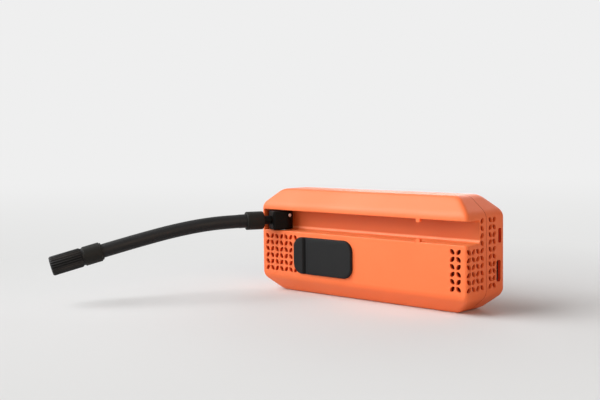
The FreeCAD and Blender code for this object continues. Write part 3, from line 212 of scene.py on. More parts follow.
def rounded_plate(name, low, high, corner, edge):
    """A plate with round corners and softened rims, thin along one axis."""
    low, high = Vector(low), Vector(high)
    thin = min(range(3), key=lambda axis: high[axis] - low[axis])
    flat = [axis for axis in range(3) if axis != thin]
    levels = [(low[thin], edge), (low[thin] + 0.3 * edge, 0.3 * edge), (low[thin] + edge, 0.0)]
    levels += [(low[thin] + high[thin] - level, inset) for level, inset in reversed(levels)]
    rings = []
    for level, inset in levels:
        ring = []
        for sign_a, sign_b, reach_a, reach_b in four_corners(6):
            point = [0.0, 0.0, 0.0]
            point[thin] = level
            for axis, sign, reach in zip(flat, (sign_a, sign_b), (reach_a, reach_b)):
                middle = (low[axis] + high[axis]) / 2
                half = (high[axis] - low[axis]) / 2 - corner
                point[axis] = middle + sign * half + (corner - inset) * reach
            ring.append(mm(*point))
        rings.append(ring)
    return piece(name, *skin_of(rings))


def smooth_line(points):
    """Points along the smooth curve that the control points give."""
    data = bpy.data.curves.new("line", "CURVE")
    data.dimensions = "3D"
    data.resolution_u = 16
    spline = data.splines.new("NURBS")
    spline.points.add(len(points) - 1)
    for target, point in zip(spline.points, points):
        target.co = (*point, 1)
    spline.order_u = 3
    spline.use_endpoint_u = True
    holder = bpy.data.objects.new("line", data)
    sampled = bpy.data.meshes.new_from_object(holder)
    line = [vertex.co.copy() for vertex in sampled.vertices]
    bpy.data.objects.remove(holder)
    bpy.data.meshes.remove(sampled)
    return line


# Shader values

def arithmetic(operation, swapped=False):
    """An operator that adds a Math node."""
    def apply(self, other):
        pair = (other, self) if swapped else (self, other)
        return self.shading.add("ShaderNodeMath", {"operation": operation}, dict(enumerate(pair)))
    return apply


class Signal:
    """A value that changes over a surface. Sums and products of it add their Math nodes."""

    def __init__(self, shading, socket):
        self.shading = shading
        self.socket = socket

    __add__ = __radd__ = arithmetic("ADD")
    __sub__ = arithmetic("SUBTRACT")
    __rsub__ = arithmetic("SUBTRACT", swapped=True)
    __mul__ = __rmul__ = arithmetic("MULTIPLY")
    or_less = arithmetic("MINIMUM")
    or_more = arithmetic("MAXIMUM")

    def __abs__(self):
        return self.shading.add("ShaderNodeMath", {"operation": "ABSOLUTE"}, {0: self})

    def ramp(self, low, high):
        """From 0 at the low value to 1 at the high one, with soft ends."""
        return self.shading.add(
            "ShaderNodeMapRange",
            {"interpolation_type": "SMOOTHSTEP"},
            {"Value": self, "From Min": low, "From Max": high, "To Min": 0.0, "To Max": 1.0},
        )


class Shading:
    """The nodes of a material or of the world."""

    def __init__(self, tree):
        self.tree = tree

    def add(self, kind, settings=None, inputs=None, output=0):
        """A new node of the kind, with its settings made first and its sockets fed after."""
        node = self.tree.nodes.new(kind)
        for key, value in (settings or {}).items():
            setattr(node, key, value)
        for key, value in (inputs or {}).items():
            self.feed(self.input_of(node, key), value)
        return Signal(self, node.outputs[output])

    def input_of(self, node, key):
        """A socket by its place, or the one in use that has this name or identifier."""
        if isinstance(key, int):
            return node.inputs[key]
        named = (socket for socket in node.inputs if key in (socket.identifier, socket.name))
        return next(socket for socket in named if socket.enabled)

    def feed(self, socket, value):
        if isinstance(value, Signal):
            self.tree.links.new(value.socket, socket)
        else:
            socket.default_value = value

    def seen(self):
        """Full for what the camera sees, straight or by way of something glossy or clear."""
        share = self.add("ShaderNodeLightPath", output="Is Camera Ray")
        for ray in ("Is Glossy Ray", "Is Transmission Ray"):
            share = share.or_more(self.add("ShaderNodeLightPath", output=ray))
        return share


class Finish(Shading):
    """A material that is built up around one Principled shader."""

    def __init__(self, name, **constants):
        self.material = bpy.data.materials.new(name)
        self.material.use_nodes = True
        super().__init__(self.material.node_tree)
        self.shader = next(node for node in self.tree.nodes if node.type == "BSDF_PRINCIPLED")
        for socket_name, value in constants.items():
            self.set(socket_name.replace("_", " "), value)

    def set(self, name, value):
        self.feed(self.shader.inputs[name], value)

    def place(self):
        """The place on the object, in metres."""
        return self.add("ShaderNodeTexCoord", output="Object")

    def axes(self):
        """The place on the object along X, Y and Z, in millimetres."""
        where = self.vector("MULTIPLY", self.place(), (1000, 1000, 1000), output="Vector")
        return [self.add("ShaderNodeSeparateXYZ", {}, {0: where}, output=axis) for axis in range(3)]

    def vector(self, operation, *values, output="Value"):
        inputs = dict(enumerate(values))
        return self.add("ShaderNodeVectorMath", {"operation": operation}, inputs, output)

    def noise(self, scale, detail, roughness=0.5):
        inputs = {"Vector": self.place(), "Scale": scale, "Detail": detail, "Roughness": roughness}
        return self.add("ShaderNodeTexNoise", {}, inputs)

    def blend(self, first, second, share):
        """A colour between two."""
        inputs = {"Factor_Float": share, "A_Color": first, "B_Color": second}
        return self.add("ShaderNodeMix", {"data_type": "RGBA"}, inputs, output=2)

    def turn_between(self, first, second, share):
        """A direction between two."""
        inputs = {"Factor_Float": share, "A_Vector": first, "B_Vector": second}
        return self.add("ShaderNodeMix", {"data_type": "VECTOR"}, inputs, output=1)

    def height(self, value, depth, strength, facing=None):
        """Raises the surface by the value, over the depth in metres."""
        inputs = {"Strength": strength, "Distance": depth, "Height": value}
        if facing:
            inputs["Normal"] = facing
        self.set("Normal", self.add("ShaderNodeBump", {}, inputs))

    def painted(self, name):
        """A value that the mesh itself carries at its points."""
        return self.add("ShaderNodeAttribute", {"attribute_name": name}, output="Fac")

    def mix_in(self, other, share):
        """Lays another shader over this one, by the share."""
        own = Signal(self, self.shader.outputs[0])
        mixed = self.add("ShaderNodeMixShader", {}, {0: share, 1: own, 2: other})
        outlet = next(node for node in self.tree.nodes if node.type == "OUTPUT_MATERIAL")
        self.feed(outlet.inputs["Surface"], mixed)


def rgb(red, green, blue):
    """A colour given as it looks on screen, from 0 to 255."""
    def linear(value):
        share = value / 255
        return share / 12.92 if share <= 0.04045 else ((share + 0.055) / 1.055) ** 2.4
    return (linear(red), linear(green), linear(blue), 1.0)


# Where the casing's tone or shading changes, in millimetres

def casing_depth(finish):
    """How far a point lies under the casing's outer faces and the groove's faces."""
    x, y, z = finish.axes()
    from_end = CASING["end"] - abs(x)
    from_face = CASING["face"] - abs(y)
    from_rise = CASING["high"] - CASING["rise"] - z
    from_fall = z - CASING["fall"]
    depth = from_end.or_less(from_face).or_less(CASING["high"] - z).or_less(z)
    for from_side, run in ((from_end, CASING["end_run"]), (from_face, CASING["side_run"])):
        for from_level, drop in ((from_rise, CASING["rise"]), (from_fall, CASING["fall"])):
            slope = math.hypot(run, drop)
            depth = depth.or_less(from_side * (drop / slope) + from_level * (run / slope))
    from_groove = (abs(z - GROOVE["middle"]) - GROOVE["half"]).or_more(y - GROOVE["back"])
    return depth.or_less(from_groove)


def slot_walls(finish):
    """Full on the walls of the two slots in the right end, behind their rims, where shade is painted."""
    x, y, z = finish.axes()
    end = CASING["end"]
    shade_mask = 0
    for slot in (USB_A, USB_C):
        beside = abs(y - slot["middle"]) - slot["wide"] / 2
        beside = beside.or_more(abs(z - slot["level"]) - slot["high"] / 2)
        shade_mask = (1 - beside.ramp(0.05, 0.12)) + shade_mask
    behind_rim = 1 - x.ramp(end - 0.3, end - 0.15)
    return shade_mask * behind_rim * x.ramp(end - 2.6, end - 2.4)


def groove_length(x):
    """Full along the groove, fading out at its left end and at the casing's right end."""
    left, end = GROOVE["left"], CASING["end"]
    return x.ramp(left + 1.6, left + 2.6) * (1 - x.ramp(end - 0.5, end - 0.1))


def groove_wall(x, y, start, full):
    """Full along the groove's back wall, fading in over the distances given before it."""
    back = GROOVE["back"]
    return groove_length(x) * y.ramp(back - start, back - full) * (1 - y.ramp(back + 0.1, back + 0.4))


def groove_back_shade(finish):
    """Full on the groove's back wall, where shade is painted, fading out over its rounded corners."""
    x, y, z = finish.axes()
    level = 1 - abs(z - GROOVE["middle"]).ramp(GROOVE["half"] - 1.6, GROOVE["half"] + 0.1)
    return level * groove_wall(x, y, 1.8, 0.2)


def groove_floor_tone(finish):
    """Full on the groove's floor, which is painted a less red tone against the red light that bounces in
    the groove.
    """
    x, y, z = finish.axes()
    level = 1 - abs(z - GROOVE["middle"] + GROOVE["half"]).ramp(0.4, 1.0)
    inward = y.ramp(FRONT + 0.4, FRONT + 1.4) * (1 - y.ramp(GROOVE["back"] - 0.9, GROOVE["back"] - 0.1))
    return level * groove_length(x) * inward


def groove_highlight(finish):
    """Full along the groove's lower back edge, where a paler highlight is painted along its rounded corner.
    """
    x, y, z = finish.axes()
    level = z.ramp(GROOVE_LOW + 0.6, GROOVE_LOW + 1.2) * (1 - z.ramp(GROOVE_LOW + 1.7, GROOVE_LOW + 2.8))
    return level * groove_wall(x, y, 2.4, 1.2)


def seam_shade(finish):
    """Strongest on the edges of the seam between the two halves, where shade is painted."""
    y = finish.axes()[1]
    return 1 - abs(y).ramp(0.1, 0.42)


def softened_hips(finish):
    """The surface's direction, rounded off further where the sloped faces meet at the casing's ends."""
    x, y, z = finish.axes()
    near_top_or_bottom = z.ramp(57.5, 60.0).or_more(1 - z.ramp(4.0, 6.0))
    share = abs(x).ramp(64.0, 70.0) * abs(y).ramp(6.0, 9.0) * near_top_or_bottom
    plain = finish.add("ShaderNodeNewGeometry", output="Normal")
    rounded = finish.add("ShaderNodeBevel", {"samples": 8}, {"Radius": 0.0045})
    return finish.turn_between(plain, rounded, share)


# Finishes

FINE_GRAIN = 2600.0
COARSE_GRAIN = 2200.0
PEBBLE_DEPTH = 0.00002
DUST_DEPTH = 0.00001


def plastic_mottle(finish, grain):
    """The slow drift of tone over a moulded face, and the fine speckle of its spark texture."""
    drift = finish.noise(22.0, 3.0).ramp(0.32, 0.68)
    speckle = finish.noise(grain, 2.0).ramp(0.3, 0.7)
    return drift, speckle


def plastic_sheen(roughness, drift, speckle):
    return roughness + (drift - 0.5) * 0.06 + (speckle - 0.5) * 0.05


def moulded_plastic(name, light, dark, roughness, grain=FINE_GRAIN, specular=0.16):
    """Spark-textured plastic with a fine pebbled surface."""
    finish = Finish(name, Specular_IOR_Level=specular)
    drift, speckle = plastic_mottle(finish, grain)
    finish.set("Base Color", finish.blend(light, dark, drift * 0.6 + speckle * 0.4))
    finish.set("Roughness", plastic_sheen(roughness, drift, speckle))
    finish.height(finish.noise(grain, 3.0, 0.6), PEBBLE_DEPTH, 0.5)
    return finish.material


def casing_plastic(name, tones, roughness):
    """The shells' plastic, with painted shade on the groove's back wall, in the slots, along the seam and
    deep in the vents, a less red tone painted on the groove's floor, and a painted highlight along its
    lower back edge.
    """
    finish = Finish(name, Specular_IOR_Level=0.36)
    drift, speckle = plastic_mottle(finish, FINE_GRAIN)
    slots = slot_walls(finish)
    # painted shade: the inside tone, deep in the vents and other recesses
    shade_mask = casing_depth(finish).ramp(0.95, 1.7)
    tone = finish.blend(tones["light"], tones["dark"], drift * 0.6 + speckle * 0.4)
    for layer, share in (
        ("painted_shade_back", groove_back_shade(finish)),
        ("painted_floor_tone", groove_floor_tone(finish)),
        ("painted_highlight", groove_highlight(finish) * (0.7 + speckle * 0.3)),
        # painted shade along the seam, at half strength
        ("inside", seam_shade(finish) * 0.5),
        ("inside", shade_mask),
        ("slot_shade", slots),
    ):
        tone = finish.blend(tone, tones[layer], share)
    finish.set("Base Color", tone)
    finish.set("Roughness", plastic_sheen(roughness, drift, speckle) + shade_mask.or_more(slots) * 0.3)
    pebbles = finish.noise(FINE_GRAIN, 3.0, 0.6)
    finish.height(pebbles, PEBBLE_DEPTH, 0.5, softened_hips(finish))
    return finish.material


def soft_rubber(name, light, dark, roughness, specular=0.35, crease=None):
    """Dull rubber with a faint drag of dust, and painted shade where a crease folds."""
    finish = Finish(name, Specular_IOR_Level=specular)
    drift = finish.noise(60.0, 4.0, 0.6).ramp(0.3, 0.7)
    fleck = finish.noise(1500.0, 2.0).ramp(0.45, 0.8)
    tone = finish.blend(dark, light, drift * 0.7 + fleck * 0.3)
    if crease:
        tone = finish.blend(tone, crease, finish.painted("crease"))
    finish.set("Base Color", tone)
    finish.set("Roughness", roughness + (drift - 0.5) * 0.1)
    finish.height(finish.noise(3000.0, 2.0), DUST_DEPTH, 0.4)
    return finish.material


def turned_metal(name, colour, roughness, metallic=1.0, specular=0.5):
    """Metal with a fine machined grain."""
    finish = Finish(name, Specular_IOR_Level=specular, Metallic=metallic)
    drift = finish.noise(90.0, 3.0).ramp(0.3, 0.7)
    fine = finish.noise(1800.0, 2.0).ramp(0.3, 0.7)
    darker = tuple(part * 0.8 for part in colour[:3]) + (1.0,)
    finish.set("Base Color", finish.blend(darker, colour, fine * 0.5 + drift * 0.5))
    finish.set("Roughness", roughness + (drift - 0.5) * 0.12)
    finish.height(fine, DUST_DEPTH, 0.3)
    return finish.material


def smoked_window(name):
    """Glossy dark glazing, with the unlit screen just showing behind it."""
    finish = Finish(name, Specular_IOR_Level=0.6)
    x, _, z = finish.axes()
    smear = finish.noise(35.0, 4.0, 0.65).ramp(0.4, 0.75)
    beside = abs(x - SCREEN["middle"]) - SCREEN["half_wide"]
    beside = beside.or_more(abs(z - SCREEN["level"]) - SCREEN["half_high"])
    screen = 1 - beside.ramp(-0.2, 0.2)
    tone = finish.blend(rgb(14, 15, 17), rgb(24, 25, 28), smear)
    finish.set("Base Color", finish.blend(tone, rgb(40, 44, 46), screen * 0.7))
    finish.set("Roughness", 0.07 + smear * 0.1)
    return finish.material


def board_finish(name):
    """Green circuit board with paler tracks."""
    finish = Finish(name, Specular_IOR_Level=0.5, Roughness=0.35)
    tracks = finish.add(
        "ShaderNodeTexBrick",
        {"offset": 0.37, "squash": 0.6},
        {"Vector": finish.place(), "Scale": 120.0, "Mortar Size": 0.03},
        output=1,
    )
    finish.set("Base Color", finish.blend(rgb(22, 84, 44), rgb(38, 118, 62), tracks))
    return finish.material


ORANGE = {
    "light": rgb(242, 119, 65),
    "dark": rgb(239, 113, 59),
    # painted shade: a darker, less red tone on the groove's back wall, which the groove's roof shades
    "painted_shade_back": rgb(213, 107, 55),
    # painted tone: a less red colour on the groove's floor, against the red light that bounces in the
    # groove
    "painted_floor_tone": rgb(222, 126, 72),
    # painted highlight: a pale line along the groove's lower back edge
    "painted_highlight": rgb(255, 168, 122),
    # painted shade on the walls of the slots in the right end
    "slot_shade": rgb(213, 50, 6),
    # painted shade deep in the vents and recesses, also used at half strength along the seam
    "inside": rgb(150, 36, 6),
}

FINISHES = {
    "orange": casing_plastic("orange_shell", ORANGE, 0.5),
    # painted light and shade: sheets behind the vents, orange for the reddish light seen through them,
    # brown for their shade
    "shade_sheet": moulded_plastic("orange_shade_sheet", rgb(240, 72, 10), rgb(226, 64, 8), 0.8),
    "deep": moulded_plastic("brown_shade_sheet", rgb(96, 22, 4), rgb(84, 18, 3), 0.8),
    "black": moulded_plastic("black_moulding", rgb(13, 12, 12), rgb(9, 8, 8), 0.5, COARSE_GRAIN),
    # painted shade: a darker copy of the black moulding for the swivel block, which sits in shade in the
    # groove
    "block": moulded_plastic("shaded_black_block", rgb(7, 5, 4), rgb(4, 3, 2), 0.5, COARSE_GRAIN, specular=0.1),
    "ferrule": moulded_plastic("ferrule_moulding", rgb(33, 33, 31), rgb(26, 26, 24), 0.6, COARSE_GRAIN),
    "coated": turned_metal("black_coating", rgb(16, 16, 16), 0.44, 0.2, specular=0.28),
    "hose": soft_rubber("hose_rubber", rgb(25, 25, 26), rgb(18, 18, 19), 0.52, specular=0.24),
    # the near-black crease colour is painted shade in the fold
    "cover": soft_rubber(
        "cover_rubber", rgb(33, 34, 35), rgb(27, 28, 29), 0.66, specular=0.14, crease=rgb(2, 2, 2),
    ),
    "tube": soft_rubber("milky_silicone", rgb(222, 220, 212), rgb(205, 203, 196), 0.35),
    "steel": turned_metal("plated_steel", rgb(198, 198, 200), 0.3),
    "bright": turned_metal("bright_zinc", rgb(236, 236, 234), 0.35, 0.25),
    "brass": turned_metal("turned_brass", rgb(214, 178, 104), 0.3),
    "aluminium": turned_metal("cast_aluminium", rgb(190, 192, 195), 0.45),
    "magnet": turned_metal("sintered_magnet", rgb(70, 70, 72), 0.6),
    "wrap": moulded_plastic("cell_wrap", rgb(58, 116, 168), rgb(48, 100, 150), 0.3),
    "board": board_finish("circuit_board"),
    "window": smoked_window("smoked_window"),
}

SLOT_FINISH = {
    "orange_plastic": "orange",
    "black_plastic": "black",
    "black_metal": "coated",
    "hose_rubber": "hose",
    "grey_rubber": "cover",
    "clear_tube": "tube",
    "steel": "steel",
    "brass": "brass",
    "aluminium": "aluminium",
    "magnet": "magnet",
    "cell_wrap": "wrap",
    "circuit_board": "board",
    "window": "window",
}

NODE_FINISH = {"pivot_screw": "bright", "swivel_block": "block", "far_ferrule": "ferrule"}


def dress(thing, finish):
    thing.data.materials.clear()
    thing.data.materials.append(FINISHES[finish])


def dress_cad_nodes():
    """Each node from the CAD gets its material slot's finish, and a few get their own."""
    for part in frame["record"]["subparts"]:
        for slot in nodes[part["node"]].material_slots:
            slot.material = FINISHES[SLOT_FINISH[part["material_slot"]]]
    for name, finish in NODE_FINISH.items():
        dress(nodes[name], finish)


# Hose

HOSE_SIDES = 40

# Start and end, as reaches from the pivot
COLLAR = (26.0, 32.8)


def tube_rings(line, radius):
    """Rings round a line, at a radius in millimetres."""
    rings = []
    across = None
    for index, point in enumerate(line):
        ahead = line[min(index + 1, len(line) - 1)] - line[max(index - 1, 0)]
        ahead.normalize()
        if across is None:
            across = ahead.cross(UP).normalized()
        across = (across - ahead * across.dot(ahead)).normalized()
        other = ahead.cross(across)
        rings.append([
            point + (radius / 1000) * (math.cos(angle) * across + math.sin(angle) * other)
            for angle in full_circle(HOSE_SIDES)
        ])
    return rings


def make_hose():
    """The whole hose with its bore, which bends between its two sleeves."""
    line = smooth_line([on_route(*stop) for stop in HOSE_ROUTE])
    outside = tube_rings(line, HOSE_RADIUS)
    inside = tube_rings(line, HOSE_BORE)
    points, faces = skin_of(outside + inside[::-1] + [outside[0]], closed_ends=False)
    hose = piece("hose_skin", points, faces, 50)
    dress(hose, "hose")
    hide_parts("hose")
    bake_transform(hose)
    return hose, line


def declare_hose(line):
    length = sum((after - before).length for before, after in zip(line, line[1:]))


# Sleeve on the hose's near end

def make_near_ferrule(line):
    """The sleeve with its rim line, and the thin collar that comes out of it round the hose."""
    back, front, radius = 15.0, 27.0, 6.2
    outside = [
        (back, 5.5), (back + 0.12, 5.76), (back + 0.5, 6.1), (back + 0.75, radius),
        (25.5, radius), (25.6, 6.1), (25.85, 6.1), (25.95, radius),
        (front - 0.5, radius), (front - 0.16, 6.04), (front, 5.7),
    ]
    inside = [(front, 4.6), (16.5, 4.6), (16.5, 2.2), (back, 2.2)]
    profile = inside[-1:] + outside + inside
    sleeve = lathe("near_sleeve", profile, axis_frame(PIVOT, HOSE_WAY), closed_ends=False)
    dress(sleeve, "ferrule")
    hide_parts("near_ferrule")
    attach(sleeve, "swivel")
    start, end = COLLAR
    covered = [point for point in line if start < (point - PIVOT).length * 1000 < end]
    rings = tube_rings(covered, HOSE_RADIUS + 0.13) + tube_rings(covered, HOSE_RADIUS + 0.02)[::-1]
    collar = piece("hose_collar", *skin_of(rings + rings[:1], closed_ends=False), 50)
    dress(collar, "hose")
    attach(collar, "swivel")
    return [sleeve, collar]


# Knurled nut of the chuck

def make_nut():
    """Turned nut with straight rounded ribs, chamfered rims and a thread inside its mouth."""
    ribs = 24
    angles = full_circle(10 * ribs)
    start, end = 3.35, 23.7
    crest, valley = 6.35, 5.7
    neck_bore, wide_bore, mouth = 3.08, 4.68, 4.7
    neck_end, wide_end, thread_start = 5.2, 10.1, 11.0
    thread_root, thread_crest, pitch = 4.3, 3.92, 0.8

    def plain(x, radius):
        return [(x, radius * math.cos(angle), radius * math.sin(angle)) for angle in angles]

    def ribbed(x, most=crest):
        ring = []
        for angle in angles:
            wave = 0.5 + 0.5 * math.cos(ribs * angle)
            radius = min(most, valley + (crest - valley) * wave ** 0.6)
            ring.append((x, radius * math.cos(angle), radius * math.sin(angle)))
        return ring

    rings = [plain(start, neck_bore), plain(start, 5.3), ribbed(start + 0.15, 5.75), ribbed(start + 0.9)]
    rings += [ribbed(end - 0.9), ribbed(end - 0.25, 5.85), plain(end, 5.6), plain(end, mouth)]
    reach = end - 0.5
    while reach > thread_start:
        rings += [plain(reach, thread_root), plain(reach - pitch / 2, thread_crest)]
        reach -= pitch
    rings += [plain(wide_end + 0.1, thread_crest), plain(wide_end, wide_bore)]
    rings += [plain(neck_end + 0.05, wide_bore), plain(neck_end, neck_bore), rings[0]]
    points, faces = skin_of(rings, closed_ends=False)
    where = chuck_frame()
    nut = piece("knurled_nut", [where @ (Vector(point) / 1000) for point in points], faces, 35)
    dress(nut, "coated")
    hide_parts("chuck_nut")
    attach(nut, "chuck_ring")
    return nut


# Rubber cover

CREASE_HALF = 2.1
CREASE_LEFT = 0.28
FOLD_ZONE = 2.4
CORNER_STEPS = 8
PLUG = {"middle": -23.0, "long": 33.4, "high": 16.4, "deep": 1.2}


def even_steps(low, high, step):
    count = max(1, round((high - low) / step))
    return [low + (high - low) * index / count for index in range(count + 1)]


def cover_columns(inset):
    """Stations along the cover with the half height of its outline, drawn in by the inset."""
    corner = COVER["corner"] - inset
    low = COVER["left"] + inset
    high = COVER["right"] - inset
    half = (COVER["high"] - COVER["low"]) / 2 - inset
    left = []
    for step in range(CORNER_STEPS + 1):
        turn = math.radians(90 * step / CORNER_STEPS)
        left.append((low + corner * (1 - math.cos(turn)), half - corner * (1 - math.sin(turn))))
    fold_start, fold_end = CREASE - FOLD_ZONE, CREASE + FOLD_ZONE
    middle = even_steps(low + corner, fold_start, 0.8)[1:]
    middle += even_steps(fold_start, fold_end, 0.3)[1:]
    middle += even_steps(fold_end, high - corner, 1.6)[1:-1]
    right = [(high - (x - low), reach) for x, reach in reversed(left)]
    return left + [(x, half) for x in middle] + right


def crease_share(x):
    """How much of the cover's thickness is left at the crease: a valley with round shoulders."""
    away = min(1.0, abs(x - CREASE) / CREASE_HALF)
    return CREASE_LEFT + (1 - CREASE_LEFT) * away * away * (3 - 2 * away)


def cover_height(depth, x):
    """Height above the casing, at a depth in from the outline."""
    edge = COVER["edge"]
    rise = COVER["thick"]
    if depth < edge:
        rise -= edge - math.sqrt(edge * edge - (edge - depth) ** 2)
    return rise * crease_share(x)


def cover_outline(inset, rows, height_at):
    """The cover's outline, drawn in by the inset and raised by the height at each station."""
    stations = cover_columns(inset)
    (left, left_half), (right, right_half) = stations[0], stations[-1]
    rising = [(left, COVER_LEVEL - left_half + 2 * left_half * row / rows) for row in range(rows)]
    top = [(x, COVER_LEVEL + half) for x, half in stations]
    falling = [
        (right, COVER_LEVEL + right_half - 2 * right_half * row / rows) for row in range(1, rows)
    ]
    bottom = [(x, COVER_LEVEL - half) for x, half in reversed(stations[1:])]
    return [mm(x, FRONT - height_at(x), z) for x, z in rising + top + falling + bottom]


def make_cover():
    """The whole rubber cover: a soft-edged plate with a crease where it bends."""
    rows = 10
    rings = [cover_outline(0.0, rows, lambda x: 0.0)]
    for share in (0.0, 0.08, 0.25, 0.55, 1.0):
        inset = COVER["edge"] * share
        rings.append(cover_outline(inset, rows, lambda x: cover_height(inset, x)))
    points, faces = skin_of(rings, closed_ends=False)
    faces.append(tuple(range(len(rings[0]))))
    stations = cover_columns(COVER["edge"])
    grid_start = len(points)
    for x, half in stations:
        for row in range(rows + 1):
            z = COVER_LEVEL - half + 2 * half * row / rows
            points.append(mm(x, FRONT - cover_height(COVER["edge"], x), z))
    for column in range(len(stations) - 1):
        for row in range(rows):
            corner = grid_start + column * (rows + 1) + row
            faces.append((corner, corner + 1, corner + rows + 2, corner + rows + 1))
    cover = piece("rubber_cover", points, faces, 40)
    # painted shade: each point's share of the crease's near-black tone
    crease = cover.data.attributes.new("crease", "FLOAT", "POINT")
    for index, vertex in enumerate(cover.data.vertices):
        left_over = crease_share(vertex.co.x * 1000) - CREASE_LEFT
        crease.data[index].value = 1.0 - left_over / (1 - CREASE_LEFT)
    dress(cover, "cover")
    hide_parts("flap_anchor", "flap_hinge", "port_flap")
    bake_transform(cover)


def make_plug():
    """The plug on the back of the cover, which fills the socket's opening."""
    half_long, half_high = PLUG["long"] / 2, PLUG["high"] / 2
    plug = rounded_plate(
        "cover_plug",
        (PLUG["middle"] - half_long, FRONT - 0.5, COVER_LEVEL - half_high),
        (PLUG["middle"] + half_long, FRONT + PLUG["deep"], COVER_LEVEL + half_high),
        corner=1.7,
        edge=0.35,
    )
    dress(plug, "cover")
    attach(plug, "flap")


# Sheets behind the vents, coloured as the painted light and shade seen through them

def make_shade_sheet(name, low, high, finish):
    """A thin sheet close behind a wall's vents, coloured as the painted light and shade seen through them.
    """
    shade_sheet = rounded_plate(name, low, high, corner=1.2, edge=0.1)
    dress(shade_sheet, finish)
    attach(shade_sheet, "housing")


def make_shade_sheets():
    front, end, thick = -17.72, 82.42, 0.3
    for name, left, right, finish in (
        ("left_vent_shade_sheet", -81.8, -52.0, "shade_sheet"),
        ("right_vent_shade_sheet", 72.0, 81.8, "deep"),
    ):
        make_shade_sheet(name, (left, front, 14.02), (right, front + thick, 39.6), finish)
    for name, near, low, high in (
        ("low_end_shade_sheet", -16.9, 12.8, 39.6),
        ("high_end_shade_sheet", -4.4, 38.0, 57.6),
    ):
        make_shade_sheet(name, (end, near, low), (end + thick, 9.8, high), "shade_sheet")


# Buttons and their marks

BUTTON_TOP = 20.295
BUTTON_DISH = 20.1


def make_button(name, centre):
    """A round key: stem, flange, and a cap with a rounded rim and a shallow dish."""
    stem, flange, cap, rim = 1.5, 4.7, 3.8, 0.3
    tip, low, high = 15.45, 16.5, 17.7
    profile = [(tip, stem - 0.2), (tip + 0.2, stem), (low, stem), (low, flange - 0.1), (low + 0.1, flange)]
    profile += [(high - 0.1, flange), (high, flange - 0.1), (high, cap)]
    for step in range(6):
        turn = math.radians(90 * step / 5)
        profile.append((BUTTON_TOP - rim + rim * math.sin(turn), cap - rim + rim * math.cos(turn)))
    profile += [(20.28, 3.38), (20.2, 3.2), (20.12, 3.0), (BUTTON_DISH, 2.75), (BUTTON_DISH, 0.6)]
    across, level = centre
    key = lathe(name + "_cap", profile, axis_frame(mm(across, 0, level), Vector((0, 1, 0))))
    dress(key, "black")
    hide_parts(name)
    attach(key, name)


def make_mark(name, body, centre, shapes):
    """Shallow pale marks in the dish of a button's cap. Each shape is an outline, and what it closes on."""
    low, high = BUTTON_DISH, BUTTON_DISH + 0.1
    points = []
    faces = []
    for outer, inner in shapes:
        rings = []
        for height, outline in ((low, outer), (high, outer), (high, inner), (low, inner), (low, outer)):
            rings.append([mm(centre[0] - across, height, centre[1] + rise) for across, rise in outline])
        more_points, more_faces = skin_of(rings, closed_ends=False)
        faces += [tuple(index + len(points) for index in face) for face in more_faces]
        points += more_points
    mark = piece(name, points, faces)
    dress(mark, "tube")
    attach(mark, body)


def bar(width, height, angle=0.0, corner=0.12, rise=0.0):
    """A thin bar's outline, paired with a smaller one inside it so that it fills."""
    outline = [
        (
            sign_x * (width / 2 - corner) + corner * reach_x,
            sign_y * (height / 2 - corner) + corner * reach_y,
        )
        for sign_x, sign_y, reach_x, reach_y in four_corners(4)
    ]
    across, up = math.cos(math.radians(angle)), math.sin(math.radians(angle))
    outline = [(x * across - y * up, x * up + y * across + rise) for x, y in outline]
    middle_x = sum(x for x, y in outline) / len(outline)
    middle_y = sum(y for x, y in outline) / len(outline)
    smaller = [(middle_x + 0.3 * (x - middle_x), middle_y + 0.3 * (y - middle_y)) for x, y in outline]
    return outline, smaller


def open_ring(radius, width, gap):
    """A ring with a gap at its top, as one outline, paired with its own middle line."""
    steps = 30
    angles = [math.radians(90 + gap + (360 - 2 * gap) * step / steps) for step in range(steps + 1)]

    def arc(reach):
        return [(reach * math.cos(angle), reach * math.sin(angle)) for angle in angles]

    outer, middle, inner = (arc(radius + shift) for shift in (width / 2, 0, -width / 2))
    return outer + inner[::-1], middle + middle[::-1]


def make_buttons():
    """The four keys on the rear face, with plain signs for power, mode, more and less."""
    line, wide = 0.35, 0.45
    signs = {
        "power": [open_ring(1.5, line, 38), bar(line, 1.7, rise=1.1)],
        "mode": [open_ring(1.5, line, 1), bar(0.9, 0.9, 45, 0.2)],
        "plus": [bar(3.0, wide), bar(wide, 3.0)],
        "minus": [bar(3.0, wide)],
    }
    for name, centre in BUTTON_PLACES.items():
        make_button(name + "_button", centre)
        make_mark(name + "_mark", name + "_button", centre, signs[name])


# Floor and light, in metres

VIEW_WAY = Vector((-0.69, 0.72, 0)).normalized()
WHITE = (1.0, 1.0, 1.0)


def floor_finish():
    """Pale paper. Away from the object it shows the camera a glowing tone that lights nothing, painted
    paler further from the camera.
    """
    finish = Finish("paper_floor", Roughness=0.9, Specular_IOR_Level=0.2)
    drift = finish.noise(1.5, 2.0).ramp(0.3, 0.7)
    finish.set("Base Color", finish.blend(rgb(207, 208, 209), rgb(212, 213, 214), drift))
    where = finish.place()
    reach = finish.vector("LENGTH", where)
    ahead = finish.vector("DOT_PRODUCT", where, VIEW_WAY)
    # painted light: the backdrop's glow grows paler further from the camera
    paper = finish.blend(rgb(226, 226, 225), rgb(239, 239, 239), ahead.ramp(-0.35, 1.6))
    glow = finish.add("ShaderNodeEmission", {}, {"Color": paper, "Strength": 1.0})
    finish.mix_in(glow, finish.seen() * reach.ramp(0.07, 0.38))
    return finish.material


